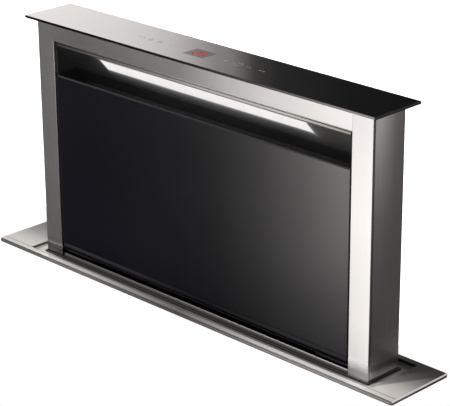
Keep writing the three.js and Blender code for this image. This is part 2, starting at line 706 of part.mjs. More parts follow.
// Each flap is half a disc with two knuckles on the pin; the two flaps' knuckles alternate.
function spigotFlap(name, side) {
  const radius = spigotBore - FLAP_CLEARANCE;
  const disc = rod(
    'x', [SPIGOT_Y, INLET_Z], [flapPinX - FLAP_SHEET / 2, flapPinX + FLAP_SHEET / 2], radius, 32,
  );
  const xRange = [flapPinX - radius, flapPinX + radius];
  const zRange = [INLET_Z - radius, INLET_Z + radius];
  const [near, far] = outward(side, FLAP_PIN_RADIUS + TURNING_FIT, radius + 1);
  const half = disc.intersect(block(xRange, [SPIGOT_Y + near, SPIGOT_Y + far], zRange));
  const first = side > 0 ? 0 : 1;
  let flap = half;
  for (const step of [first, first + 2]) {
    const start = INLET_Z + (step - 2) * KNUCKLE_LENGTH;
    const range = [start + KNUCKLE_GAP / 2, start + KNUCKLE_LENGTH - KNUCKLE_GAP / 2];
    flap = flap.add(rod('z', [flapPinX, SPIGOT_Y], range, KNUCKLE_RADIUS, 16));
  }
  for (const step of [1 - first, 3 - first]) {
    const start = INLET_Z + (step - 2) * KNUCKLE_LENGTH;
    const range = [start - KNUCKLE_GAP / 2, start + KNUCKLE_LENGTH + KNUCKLE_GAP / 2];
    flap = flap.subtract(rod('z', [flapPinX, SPIGOT_Y], range, KNUCKLE_RADIUS + KNUCKLE_GAP / 2, 16));
  }
  const bore = rod('z', [flapPinX, SPIGOT_Y], zRange, FLAP_PIN_RADIUS + TURNING_FIT, 16);
  return piece(`${name}_flap`, flap.subtract(bore), 'blackPlastic');
}

// ---- electrics ----
const boxX = [BOX_CENTRE_X - BOX_LENGTH / 2, BOX_CENTRE_X + BOX_LENGTH / 2];
const boxZ = [BOX_BOTTOM, BOX_BOTTOM + BOX_HEIGHT];
const glandCentre = [BOX_CENTRE_X + BOX_LENGTH / 4, (boxBack + boxFront) / 2];

function controlBox() {
  const outer = block(boxX, [boxFront, boxBack], boxZ);
  const inside = block(
    [boxX[0] + BOX_WALL, boxX[1] - BOX_WALL], [boxFront - 1, boxBack - BOX_WALL],
    [boxZ[0] + BOX_WALL, boxZ[1] - BOX_WALL],
  );
  const entryZ = [BOX_BOTTOM - 1, BOX_BOTTOM + BOX_WALL + 1];
  const entry = rod('z', glandCentre, entryZ, GLAND_BORE + GLAND_WALL, 20);
  return piece('control_box', outer.subtract(inside).subtract(entry), 'greyPlastic');
}

function controlBoxLid() {
  const lid = block(boxX, [boxFront - SEAT - BOX_WALL, boxFront - SEAT], boxZ);
  return piece('control_box_lid', lid, 'greyPlastic');
}

function terminalBlock() {
  const back = boxBack - BOX_WALL - SEAT;
  const bottom = BOX_BOTTOM + BOX_WALL + GLAND_LENGTH;
  const xRange = [glandCentre[0] - TERMINAL_LENGTH / 2, glandCentre[0] + TERMINAL_LENGTH / 2];
  let body = block(xRange, [back - TERMINAL_DEPTH, back], [bottom, bottom + TERMINAL_HEIGHT]);
  const entryZ = [bottom - 1, bottom + TERMINAL_ENTRY_DEPTH];
  const pitch = TERMINAL_LENGTH / TERMINAL_WAYS;
  for (let way = 0; way < TERMINAL_WAYS; way += 1) {
    const x = xRange[0] + pitch * (way + 0.5);
    const entry = rod('z', [x, back - TERMINAL_DEPTH / 2], entryZ, TERMINAL_ENTRY_RADIUS, 10);
    body = body.subtract(entry);
  }
  return piece('terminal_block', body, 'whitePlastic');
}

function powerBoard() {
  const back = boxBack - BOX_WALL - SEAT;
  const bottom = BOX_BOTTOM + BOX_WALL + GLAND_LENGTH + TERMINAL_HEIGHT + BOARD_TO_TERMINALS;
  const xRange = [BOX_CENTRE_X - POWER_BOARD_LENGTH / 2, BOX_CENTRE_X + POWER_BOARD_LENGTH / 2];
  const front = back - POWER_BOARD_STANDOFF - BOARD_THICKNESS;
  let board = block(xRange, [front, back - POWER_BOARD_STANDOFF], [bottom, bottom + POWER_BOARD_HEIGHT]);
  const inset = 2 * STANDOFF_RADIUS;
  for (const x of [xRange[0] + inset, xRange[1] - inset]) {
    for (const z of [bottom + inset, bottom + POWER_BOARD_HEIGHT - inset]) {
      board = board.add(rod('y', [x, z], [front, back], STANDOFF_RADIUS, 10));
    }
  }
  const middleZ = bottom + POWER_BOARD_HEIGHT / 2;
  const coreX = BOX_CENTRE_X - POWER_BOARD_LENGTH / 4;
  const transformer = block(
    [coreX - TRANSFORMER_SIZE / 2, coreX + TRANSFORMER_SIZE / 2],
    [front - TRANSFORMER_DEPTH, front + BOARD_THICKNESS / 2],
    [middleZ - TRANSFORMER_SIZE / 2, middleZ + TRANSFORMER_SIZE / 2],
  );
  const capacitorX = BOX_CENTRE_X + POWER_BOARD_LENGTH / 4;
  const capacitor = rod(
    'y', [capacitorX, middleZ], [front - CAPACITOR_DEPTH, front + BOARD_THICKNESS / 2],
    CAPACITOR_RADIUS, 16,
  );
  return piece('power_board', board.add(transformer).add(capacitor), 'greenBoard');
}

// The gland stands in the box's floor and is open from end to end for the supply cable.
function cableGland() {
  const top = BOX_BOTTOM + BOX_WALL + GLAND_REACH;
  const bottom = BOX_BOTTOM - GLAND_LENGTH;
  const neckZ = [bottom + GLAND_LENGTH / 2, top];
  const neck = rod('z', glandCentre, neckZ, GLAND_BORE + GLAND_WALL - SEAT, 20);
  const nut = rod('z', glandCentre, [bottom, BOX_BOTTOM - SEAT], GLAND_RADIUS, 6);
  const bore = rod('z', glandCentre, [bottom - 1, top + 1], GLAND_BORE, 16);
  return piece('cable_gland', neck.add(nut).subtract(bore), 'blackPlastic');
}

// ---- tower frame; from here heights are counted from the plate's top ----
const towerBottom = -TOWER_TAIL;
const frameTop = TOWER_RISE - SEAT;
const columnInside = towerEnd - COLUMN_WIDTH;
const faceBack = -towerSide + COLUMN_SHEET;
const sidePanelInside = towerEnd - SIDE_SHEET;
const sidePanelFront = faceBack + SIDE_GROOVE;
const backInside = towerSide - BACK_SHEET;
const railBottom = frameTop - TOP_RAIL_HEIGHT;
const hingeY = -towerSide + GLASS_SET_BACK + GLASS_THICKNESS + 1.5;
const hingeBore = HINGE_PIN_RADIUS + 2 * TURNING_FIT;

// A column is a thick front strip with a fold along each edge; the panel's pin turns in its inner fold.
function column(name, side) {
  const zRange = [towerBottom, frameTop];
  const strip = block(outward(side, columnInside, towerEnd), [-towerSide, faceBack], zRange);
  const foldEnd = -towerSide + COLUMN_FOLD_DEPTH;
  const innerFold = block(
    outward(side, columnInside, columnInside + COLUMN_FOLD), [-towerSide, foldEnd], zRange,
  );
  const outerFoldEnd = sidePanelInside - SEAT;
  const outerFold = block(
    outward(side, outerFoldEnd - COLUMN_FOLD, outerFoldEnd), [-towerSide + 1, foldEnd + 2], zRange,
  );
  const pinRange = outward(side, columnInside - 1, columnInside + COLUMN_FOLD + 1);
  const pinHole = rod('x', [hingeY, HINGE_Z], pinRange, hingeBore, 20);
  return piece(`${name}_column`, strip.add(innerFold).add(outerFold).subtract(pinHole), 'brushedSteel');
}

function sidePanel(name, side) {
  const panel = block(
    outward(side, sidePanelInside, towerEnd), [sidePanelFront, towerSide], [towerBottom, frameTop],
  );
  return piece(`${name}_side_panel`, panel, 'darkSteel');
}

function backPanel() {
  const end = sidePanelInside - SEAT;
  const panel = block([-end, end], [backInside, towerSide], [towerBottom, frameTop]);
  return piece('back_panel', panel, 'zinc');
}

function topRail() {
  const end = columnInside - SEAT;
  const face = block([-end, end], [-towerSide, faceBack], [railBottom, frameTop]);
  const flange = block(
    [-end, end], [-towerSide, -towerSide + TOP_RAIL_FLANGE], [frameTop - RAIL_SHEET, frameTop],
  );
  return piece('top_rail', face.add(flange), 'brushedSteel');
}

function lowerRail() {
  const end = columnInside - LOWER_RAIL_END_GAP;
  const front = -towerSide + LOWER_RAIL_SET_BACK;
  const rail = block(
    [-end, end], [front, front + LOWER_RAIL_SHEET], [towerBottom, LOWER_RAIL_TOP],
  );
  const tabTop = towerBottom + LOWER_RAIL_TAB;
  const tabs = pairAcrossX(
    [end - 1, columnInside - SEAT], [front, front + LOWER_RAIL_SHEET], [towerBottom, tabTop],
  );
  return piece('lower_rail', rail.add(tabs), 'brushedSteel');
}

// ---- cap ----
function cap() {
  const halfLength = towerEnd + CAP_END_OVERHANG;
  const halfDepth = towerSide + (CAP_FRONT_OVERHANG + CAP_BACK_OVERHANG) / 2;
  const centre = [0, (CAP_BACK_OVERHANG - CAP_FRONT_OVERHANG) / 2];
  const zRange = [TOWER_RISE, TOWER_RISE + CAP_THICKNESS];
  const slab = chamferedPlate(halfLength, halfDepth, CAP_CORNER, zRange, CAP_EDGE, centre);
  const top = zRange[1];
  const pocket = windowBlock(SEAT, [top - WINDOW_THICKNESS - SEAT, top + 1]);
  return piece('cap', slab.subtract(pocket), 'blackGlass');
}

function windowBlock(clearance, zRange) {
  const halfLength = WINDOW_LENGTH / 2 + clearance;
  const halfDepth = WINDOW_DEPTH / 2 + clearance;
  return block(
    [WINDOW_CENTRE_X - halfLength, WINDOW_CENTRE_X + halfLength],
    [WINDOW_CENTRE_Y - halfDepth, WINDOW_CENTRE_Y + halfDepth], zRange,
  );
}

function displayWindow() {
  const top = TOWER_RISE + CAP_THICKNESS;
  return piece('display_window', windowBlock(0, [top - WINDOW_THICKNESS, top]), 'tintedWindow');
}

function controlBoard() {
  const front = -towerSide + TOP_RAIL_FLANGE + SEAT;
  const board = block(
    [WINDOW_CENTRE_X - BOARD_LENGTH / 2, WINDOW_CENTRE_X + BOARD_LENGTH / 2],
    [front, front + BOARD_DEPTH], [frameTop - BOARD_THICKNESS, frameTop],
  );
  const display = block(
    [WINDOW_CENTRE_X - DISPLAY_LENGTH / 2, WINDOW_CENTRE_X + DISPLAY_LENGTH / 2],
    [front + DISPLAY_INSET, front + BOARD_DEPTH - DISPLAY_INSET],
    [frameTop - BOARD_THICKNESS - DISPLAY_DEPTH, frameTop - BOARD_THICKNESS / 2],
  );
  return piece('control_board', board.add(display), 'greenBoard');
}

// ---- intake liner: lip, sloping light panel, cheeks ----
const lipFront = -towerSide + LIP_SET_BACK;
const lipTop = frameTop - LIP_BELOW_TOP;
const lipBottom = lipTop - LIP_HEIGHT;
const slope = THREE.MathUtils.degToRad(SLOPE_DEGREES);
const linerEnd = columnInside - LINER_END_GAP;
const linerBack = backInside - SEAT;
const slopeDrop = Math.tan(slope);
const slopeBottom = lipBottom - (linerBack - lipFront) * slopeDrop;
const slopeRise = LINER_SHEET / Math.cos(slope);
const filterRailTop = slopeBottom - SEAT;

// The place of a point on the light panel, by its way along the slope and its height off the sheet.
function onSlope(along, above) {
  return [
    lipFront + along * Math.cos(slope) + above * Math.sin(slope),
    lipBottom - along * Math.sin(slope) + above * Math.cos(slope),
  ];
}

function slopeSlab([x0, x1], [start, end], [low, high]) {
  const corners = [
    onSlope(start, low),
    onSlope(end, low),
    onSlope(end, high),
    onSlope(start, high),
  ];
  return pushed(corners, 'x', x0, x1);
}

function ledSlab(clearance, [low, high]) {
  const half = LED_LENGTH / 2 + clearance;
  return slopeSlab(
    [LED_CENTRE_X - half, LED_CENTRE_X + half],
    [LED_START - clearance, LED_START + LED_WIDTH + clearance], [low, high],
  );
}

function intakeLiner() {
  const xRange = [-linerEnd, linerEnd];
  const flangeFront = faceBack + SEAT;
  const flangeZ = [lipBottom, frameTop - LINER_TOP_ROOM];
  const flange = block(xRange, [flangeFront, flangeFront + LINER_SHEET], flangeZ);
  const lip = block(xRange, [lipFront, flangeFront + LINER_SHEET], [lipBottom, lipTop]);
  const panel = pushed(
    [
      [lipFront, lipBottom], [linerBack, slopeBottom],
      [linerBack, slopeBottom + slopeRise], [lipFront, lipBottom + slopeRise],
    ],
    'x', xRange[0], xRange[1],
  );
  const backFlange = block(
    xRange, [linerBack - LINER_SHEET, linerBack],
    [slopeBottom + LINER_SHEET, slopeBottom + LINER_BACK_FLANGE],
  );
  const cheekFront = -towerSide + CHEEK_SET_BACK;
  const cheekTop = lipBottom - (cheekFront - lipFront) * slopeDrop + LINER_SHEET / 2;
  const cheekOutline = [
    [cheekFront, slopeBottom], [linerBack, slopeBottom],
    [linerBack, slopeBottom + LINER_SHEET / 2], [cheekFront, cheekTop],
  ];
  let liner = flange.add(lip).add(panel).add(backFlange);
  for (const [, side] of SIDES) {
    const [near, far] = outward(side, linerEnd - LINER_SHEET, linerEnd);
    liner = liner.add(pushed(cheekOutline, 'x', near, far));
  }
  const lightOpening = ledSlab(SEAT, [-1, LINER_SHEET + 1]);
  return piece('intake_liner', liner.subtract(lightOpening), 'brushedSteel');
}

function ledDiffuser() {
  return piece('led_diffuser', ledSlab(0, [-SEAT, LED_THICKNESS - SEAT]), 'whiteDiffuser');
}

// The strip of lamps lies on the diffuser, behind the light panel.
function ledBoard() {
  const low = LED_THICKNESS;
  const half = LED_LENGTH / 2 - LED_BOARD_INSET;
  const xRange = [LED_CENTRE_X - half, LED_CENTRE_X + half];
  const along = [LED_START + LED_BOARD_INSET, LED_START + LED_WIDTH - LED_BOARD_INSET];
  const board = slopeSlab(xRange, along, [low, low + LED_BOARD_THICKNESS]);
  return piece('led_board', board, 'greenBoard');
}

// ---- grease filters and the rails that hold them ----
const filterBack = FILTER_FRONT_Y + FILTER_THICKNESS;

function greaseFilter(name, side) {
  const near = FILTER_MIDDLE_GAP / 2 + SEAT;
  const far = columnInside - FILTER_END_GAP;
  const xRange = outward(side, near, far);
  const body = block(xRange, [FILTER_FRONT_Y, filterBack], [FILTER_BOTTOM + SEAT, FILTER_TOP]);
  const recess = block(
    [xRange[0] + FILTER_RIM, xRange[1] - FILTER_RIM],
    [FILTER_FRONT_Y - 1, FILTER_FRONT_Y + FILTER_RECESS],
    [FILTER_BOTTOM + FILTER_RIM, FILTER_TOP - FILTER_RIM],
  );
  const middle = (xRange[0] + xRange[1]) / 2;
  const handleTop = FILTER_TOP - FILTER_RIM - HANDLE_BELOW_RIM;
  const handle = block(
    [middle - HANDLE_LENGTH / 2, middle + HANDLE_LENGTH / 2],
    [FILTER_FRONT_Y + FILTER_RECESS - HANDLE_DEPTH, FILTER_FRONT_Y + FILTER_RECESS + 1],
    [handleTop - HANDLE_HEIGHT, handleTop],
  );
  return piece(`filter_${name}`, body.subtract(recess).add(handle), 'filterMesh');
}

// The upper rail also closes the duct behind the filters, as far back as the back panel.
function upperFilterRail() {
  const end = linerEnd;
  const bottom = FILTER_TOP + SEAT;
  const top = filterRailTop;
  const front = block([-end, end], [FILTER_FRONT_Y, FILTER_FRONT_Y + FILTER_RAIL_SHEET], [bottom, top]);
  const shelf = block([-end, end], [FILTER_FRONT_Y, linerBack], [top - FILTER_RAIL_SHEET, top]);
  const rear = block([-end, end], [filterBack - FILTER_RAIL_SHEET, filterBack], [bottom, top]);
  return piece('filter_rail_top', front.add(shelf).add(rear), 'zinc');
}

function lowerFilterRail() {
  const end = columnInside - SEAT;
  const top = FILTER_BOTTOM;
  const front = FILTER_FRONT_Y - FILTER_SHELF_REACH;
  const shelf = block([-end, end], [front, filterBack], [top - FILTER_RAIL_SHEET, top]);
  const lip = block(
    [-end, end], [FILTER_FRONT_Y - SEAT - FILTER_RAIL_SHEET, FILTER_FRONT_Y - SEAT],
    [top - FILTER_RAIL_SHEET, top + FILTER_LIP],
  );
  const skirt = block(
    [-end, end], [filterBack - FILTER_RAIL_SHEET, filterBack], [top - FILTER_SKIRT, top],
  );
  return piece('filter_rail_bottom', shelf.add(lip).add(skirt), 'zinc');
}

// ---- tilting front panel ----
const glassEnd = columnInside - GLASS_END_GAP;
const glassFront = -towerSide + GLASS_SET_BACK;
const glassBack = glassFront + GLASS_THICKNESS;

function glassPanel() {
  const outline = [
    [glassFront, GLASS_BOTTOM], [glassBack, GLASS_BOTTOM], [glassBack, GLASS_TOP],
    [glassFront + GLASS_CHAMFER, GLASS_TOP], [glassFront, GLASS_TOP - GLASS_CHAMFER],
  ];
  return piece('glass_panel', pushed(outline, 'x', -glassEnd, glassEnd), 'blackGlass');
}

// A hollow frame bonded behind the glass, with a hinge barrel and pin at each lower corner.
function panelFrame() {
  const end = columnInside - FRAME_END_GAP;
  const front = glassBack + SEAT;
  const yRange = [front, front + FRAME_SHEET];
  const zRange = [HINGE_Z, GLASS_TOP - FRAME_MARGIN];
  const sheet = block([-end, end], yRange, zRange);
  const opening = block(
    [-end + FRAME_BAR, end - FRAME_BAR], [yRange[0] - 1, yRange[1] + 1],
    [GLASS_BOTTOM + FRAME_BAR, zRange[1] - FRAME_BAR],
  );
  let frame = sheet.subtract(opening);
  for (const [, side] of SIDES) {
    const centre = [hingeY, HINGE_Z];
    const barrelRange = outward(side, end - HINGE_BARREL_LENGTH, end);
    const pinRange = outward(side, end - 1, columnInside + COLUMN_FOLD + 2);
    frame = frame.add(rod('x', centre, barrelRange, HINGE_BARREL_RADIUS, 20));
    frame = frame.add(rod('x', centre, pinRange, HINGE_PIN_RADIUS, 20));
  }
  return piece('panel_frame', frame, 'blackPaint');
}

// ---- carriage: the frame under the tower that rides on the screws and rails ----
function carriage() {
  const end = casingEndInside - CARRIAGE_TO_SIDE;
  const zRange = [carriageBottom, carriageTop];
  const through = [carriageBottom - 1, carriageTop + 1];
  const holeEnd = towerEnd - CARRIAGE_END_BAR;
  const holeSide = towerSide - CARRIAGE_SIDE_BAR;
  let frame = block([-end, end], [-towerSide, towerSide], zRange)
    .subtract(block([-holeEnd, holeEnd], [-holeSide, holeSide], through));
  for (const [, side] of SIDES) {
    const screwHole = rod('z', [side * screwX, SCREW_Y], through, SCREW_RADIUS + 2);
    frame = frame.subtract(screwHole).subtract(railSpace(side, through));
  }
  return piece('carriage', frame, 'zinc');
}

// The room that a guide rail needs, with its sliding clearance.
function railSpace(side, zRange) {
  return block(
    outward(side, railInside - SLIDING_FIT, railInside + RAIL_WIDTH + SLIDING_FIT),
    [RAIL_Y - RAIL_DEPTH / 2 - SLIDING_FIT, RAIL_Y + RAIL_DEPTH / 2 + SLIDING_FIT], zRange,
  );
}

function liftNut(name, side) {
  const bottom = carriageTop + SEAT;
  const bore = SCREW_RADIUS + TURNING_FIT;
  const nut = pipe('z', [side * screwX, SCREW_Y], [bottom, bottom + NUT_HEIGHT], NUT_RADIUS, bore);
  return piece(`lift_nut_${name}`, nut, 'bronze');
}

function guideShoe(name, side) {
  const zRange = [carriageTop + SEAT, carriageTop + SEAT + SHOE_HEIGHT];
  const yHalf = RAIL_DEPTH / 2 + SLIDING_FIT + SHOE_WALL;
  const xRange = outward(side, railInside - SLIDING_FIT - SHOE_WALL, railInside + SHOE_REACH);
  const body = block(xRange, [RAIL_Y - yHalf, RAIL_Y + yHalf], zRange);
  const shoe = body.subtract(railSpace(side, [zRange[0] - 1, zRange[1] + 1]));
  return piece(`guide_shoe_${name}`, shoe, 'whitePlastic');
}

// ---- the whole unit ----
const forBothSides = (make) => SIDES.map(([name, side]) => make(name, side));

const tower = new THREE.Group();
tower.position.z = plateTop;
tower.add(
  ...forBothSides(column),
  ...forBothSides(sidePanel),
  backPanel(),
  topRail(),
  lowerRail(),
  cap(),
  displayWindow(),
  controlBoard(),
  intakeLiner(),
  ledDiffuser(),
  ledBoard(),
  ...forBothSides(greaseFilter),
  upperFilterRail(),
  lowerFilterRail(),
  glassPanel(),
  panelFrame(),
  carriage(),
  ...forBothSides(liftNut),
  ...forBothSides(guideShoe),
);

const chassis = new THREE.Group();
chassis.add(
  trimPlate(),
  flangeGasket(),
  recessTray(),
  wiperSeal(),
  casingFrontPanel(),
  casingBackPanel(),
  ...forBothSides(casingSidePanel),
  casingFloor(),
  ...forBothSides(floorBracket),
  ...forBothSides(worktopClamp),
  ...forBothSides(guideRail),
  ...forBothSides(screwBearing),
  ...forBothSides(leadScrew),
  ...forBothSides(screwPulley),
  motorPulley(),
  liftGearmotor(),
  driveBelt(),
  blowerHousing(),
  inletRing(),
  impeller(),
  blowerMotor(),
  outletSpigot(),
  ...forBothSides(spigotFlap),
  controlBox(),
  controlBoxLid(),
  terminalBlock(),
  powerBoard(),
  cableGland(),
);

// The whole stands over the middle of its floor area, with the plate's middle at X = 0.
const unit = new THREE.Group();
unit.position.set(PLATE_SHIFT, -depthMiddle, 0);
unit.add(chassis, tower);

const downdraftVent = new THREE.Group();
downdraftVent.add(unit);

export default downdraftVent;
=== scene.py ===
"""Looks of a rising downdraft vent: finishes, light, and the fine pieces that the solids leave out."""
import math

import bmesh
import bpy
from mathutils import Matrix, Vector


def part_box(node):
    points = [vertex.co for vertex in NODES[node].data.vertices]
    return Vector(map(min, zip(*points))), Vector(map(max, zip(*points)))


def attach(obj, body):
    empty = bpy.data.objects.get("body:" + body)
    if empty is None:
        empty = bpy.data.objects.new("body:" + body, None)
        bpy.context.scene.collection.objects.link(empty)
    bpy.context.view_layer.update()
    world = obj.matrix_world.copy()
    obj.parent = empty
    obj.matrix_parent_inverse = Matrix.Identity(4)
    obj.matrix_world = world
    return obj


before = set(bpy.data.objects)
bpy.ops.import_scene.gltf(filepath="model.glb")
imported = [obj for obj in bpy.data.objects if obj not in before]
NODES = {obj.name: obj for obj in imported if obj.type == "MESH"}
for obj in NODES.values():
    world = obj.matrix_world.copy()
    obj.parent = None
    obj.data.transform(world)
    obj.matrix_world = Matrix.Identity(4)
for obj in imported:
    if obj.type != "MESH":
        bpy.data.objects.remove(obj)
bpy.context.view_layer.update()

# ---- places that come from the solids, in metres ----
PLATE_LOW, PLATE_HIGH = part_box("trim_plate")
PLATE_MIDDLE = (PLATE_LOW + PLATE_HIGH) / 2
PLATE_MIDDLE_TOP = Vector((PLATE_MIDDLE.x, PLATE_MIDDLE.y, PLATE_HIGH.z))
WORKTOP_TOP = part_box("flange_gasket")[0].z
TOWER_LOW, TOWER_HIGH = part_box("back_panel")
CASING_LOW, CASING_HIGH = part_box("casing_front_panel")
CASING_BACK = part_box("casing_back_panel")[1].y
LINER_LOW, LINER_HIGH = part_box("intake_liner")
STRIP_LOW, STRIP_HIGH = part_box("led_diffuser")
STRIP_SLOPE = math.radians(49)
LIP_BOTTOM = 1.0207  # the lower edge of the liner's lip

# ---- camera, at the photograph's place ----
CAMERA_OFFSET = Vector((1.939469, -1.889376, 1.226498))  # from the middle of the plate's top
CAMERA_AZIMUTH = math.radians(45.0677)
CAMERA_ELEVATION = math.radians(21.4110)
CAMERA_ROLL = math.radians(-0.4445)
SENSOR_WIDTH = 36
LENS = 149.277
NEAREST, FURTHEST = 0.05, 60


def add_object(name, data):
    thing = bpy.data.objects.new(name, data)
    bpy.context.scene.collection.objects.link(thing)
    return thing


def make_camera():
    data = bpy.data.cameras.new("camera")
    data.sensor_width = SENSOR_WIDTH
    data.lens = LENS
    data.clip_start = NEAREST
    data.clip_end = FURTHEST
    camera = add_object("camera", data)
    level = Matrix.Rotation(CAMERA_AZIMUTH, 4, "Z")
    tilt = Matrix.Rotation(math.pi / 2 - CAMERA_ELEVATION, 4, "X")
    roll = Matrix.Rotation(CAMERA_ROLL, 4, "Z")
    camera.matrix_world = Matrix.Translation(PLATE_MIDDLE_TOP + CAMERA_OFFSET) @ level @ tilt @ roll
    bpy.context.scene.camera = camera


# ---- node helpers ----
STEP_SOFT = 0.0006  # half the width of a sharp step
NOISE_SPAN = (0.3, 0.7)  # what noise mostly stays in


def fill(node, values):
    """Numbers and colours go on the node's own sockets, and other nodes' outputs are linked to them."""
    for name, value in values.items():
        if isinstance(value, bpy.types.NodeSocket):
            node.id_data.links.new(value, node.inputs[name])
        else:
            node.inputs[name].default_value = value


def add_node(tree, kind, values, output=0):
    node = tree.nodes.new("ShaderNode" + kind)
    fill(node, values)
    return node.outputs[output]


def shader_of(material):
    tree = material.node_tree
    return tree, tree.nodes["Principled BSDF"]


def new_material(name):
    material = bpy.data.materials.new(name)
    material.use_nodes = True
    return material, *shader_of(material)


def object_noise(tree, scale, stretch=(1, 1, 1), detail=3, roughness=0.5):
    """Noise in the object's own metres, drawn out along an axis by a small stretch on it."""
    place = add_node(tree, "TexCoord", {}, "Object")
    place = add_node(tree, "Mapping", {"Vector": place, "Scale": stretch})
    values = {"Vector": place, "Scale": scale, "Detail": detail, "Roughness": roughness}
    return add_node(tree, "TexNoise", values, "Fac")


def ramp(value, stops):
    colour = add_node(value.id_data, "ValToRGB", {"Fac": value}, "Color")
    elements = colour.node.color_ramp.elements
    while len(elements) > 1:
        elements.remove(elements[-1])
    first_place, first_colour = stops[0]
    elements[0].position = first_place
    elements[0].color = (*first_colour, 1)
    for place, shade in stops[1:]:
        elements.new(place).color = (*shade, 1)
    return colour


def spread(value, low, high, from_low=0, from_high=1):
    """A value's span taken to low and high, and held at them outside it."""
    return add_node(value.id_data, "MapRange", {
        "Value": value, "From Min": from_low, "From Max": from_high, "To Min": low, "To Max": high,
    })


def noise_spread(noise, low, high):
    return spread(noise, low, high, *NOISE_SPAN)


def math_node(operation, *values):
    """A sum over numbers and outputs, in the outputs' own tree."""
    tree = next(value.id_data for value in values if isinstance(value, bpy.types.NodeSocket))
    result = add_node(tree, "Math", {})
    result.node.operation = operation
    fill(result.node, dict(enumerate(values)))
    return result


def added(first, second):
    return math_node("ADD", first, second)


def less(first, second):
    return math_node("SUBTRACT", first, second)


def product(*values):
    total = values[0]
    for value in values[1:]:
        total = math_node("MULTIPLY", total, value)
    return total


def blend_in(below, above, share):
    """above where share is one, below where it is nothing."""
    kept = product(below, less(1, share))
    return added(kept, product(above, share))


def within(value, low, high, soft):
    """One between low and high, falling to nothing over the soft width outside them."""
    rising = spread(value, 0, 1, low - soft, low)
    falling = spread(value, 1, 0, high, high + soft)
    for side in (rising, falling):
        side.node.interpolation_type = "SMOOTHSTEP"
    return product(rising, falling)


def curve(value, places, levels):
    """Levels at places along a value, as a ramp that is scaled back up to its top level."""
    low, high, top = places[0], places[-1], max(levels)
    unit = spread(value, 0, 1, low, high)
    stops = [((p - low) / (high - low), (v / top,) * 3) for p, v in zip(places, levels)]
    return product(ramp(unit, stops), top)


def part_of(tree, kind, output, axis):
    """One axis of a vector that a node of this kind gives."""
    vector = add_node(tree, kind, {}, output)
    return add_node(tree, "SeparateXYZ", {"Vector": vector}, axis)


def own_place(tree, axis):
    """The surface's place on an axis of its own object, in metres."""
    return part_of(tree, "TexCoord", "Object", axis)


def over(tree, axis, places, levels):
    """Levels at the surface's own places on an axis."""
    return curve(own_place(tree, axis), places, levels)


def over_facing(tree, axis, shares, levels):
    """Levels by how far the surface faces along an axis, from -1 to 1."""
    return curve(part_of(tree, "NewGeometry", "Normal", axis), shares, levels)


def past(tree, axis, place):
    """Nothing below a place on an axis and one above it."""
    return spread(own_place(tree, axis), 0, 1, place - STEP_SOFT, place + STEP_SOFT)


def vary_colour(value, span, colour, shares):
    """A colour that goes between two shares of itself over a span of the value."""
    stops = [(place, tuple(min(1, c * share) for c in colour)) for place, share in zip(span, shares)]
    return ramp(value, stops)


def bump(height, strength, distance):
    values = {"Height": height, "Strength": strength, "Distance": distance}
    return add_node(height.id_data, "Bump", values, "Normal")


# ---- kinds of finish ----
GRAIN_SIZE = 1900
GRAINS = {"x": (0.004, 1, 1), "z": (1, 1, 0.004), "none": (1, 1, 1)}


def metal(name, colour, roughness, grain, vary, metallic=1, tint=0.03, depth=0.1):
    """Sheet metal with drawn-out grain in its roughness, colour and surface."""
    material, tree, shader = new_material(name)
    streaks = object_noise(tree, GRAIN_SIZE, GRAINS[grain], 3, 0.55)
    fine = noise_spread(streaks, roughness - vary, roughness + vary)
    broad = noise_spread(object_noise(tree, 9), -vary / 3, vary / 3)
    fill(shader, {
        "Metallic": metallic, "Roughness": added(fine, broad),
        "Base Color": vary_colour(streaks, (0.32, 0.68), colour, (1 - tint, 1 + tint)),
        "Normal": bump(streaks, depth, 0.00001),
    })
    return material


def zinc(name, colour):
    """Zinc coated sheet with its crystal patches."""
    material, tree, shader = new_material(name)
    place = add_node(tree, "TexCoord", {}, "Object")
    cells = add_node(
        tree, "TexVoronoi", {"Vector": place, "Scale": 85, "Randomness": 1}, "Color",
    )
    flake = add_node(tree, "SeparateColor", {"Color": cells}, "Red").node
    fine = spread(flake.outputs["Green"], 0.34, 0.5)
    broad = noise_spread(object_noise(tree, 6), -0.05, 0.05)
    fill(shader, {
        "Metallic": 0.85, "Roughness": added(fine, broad),
        "Base Color": vary_colour(flake.outputs["Red"], (0, 1), colour, (0.86, 1.1)),
        "Normal": bump(object_noise(tree, 300), 0.15, 0.00004),
    })
    return material


def moulded(name, colour, roughness, grain_size=1400, depth=0.35, vary=0.08):
    """Moulded plastic or paint: fine grain, faint tone changes."""
    material, tree, shader = new_material(name)
    grain = object_noise(tree, grain_size, detail=2)
    clouds = object_noise(tree, 14)
    fill(shader, {
        "Base Color": vary_colour(clouds, (0.35, 0.65), colour, (0.88, 1.1)),
        "Roughness": noise_spread(grain, roughness - vary, roughness + vary),
        "Normal": bump(grain, depth, 0.00005),
    })
    return material


def dark_glass(name, colour, ior, roughness=0.03):
    """Opaque tinted glass: a clear surface with faint wiping marks over a dark back."""
    material, tree, shader = new_material(name)
    clouds = object_noise(tree, 5, (1, 1, 2), 4)
    marks = object_noise(tree, 40, (0.2, 1, 1), 5, 0.7)
    broad = noise_spread(clouds, roughness * 0.6, roughness * 1.4)
    fine = spread(marks, 0, roughness * 0.8, 0.4, 0.8)
    fill(shader, {
        "IOR": ior, "Roughness": added(broad, fine),
        "Base Color": vary_colour(clouds, (0.35, 0.65), colour, (0.85, 1.15)),
    })
    return material


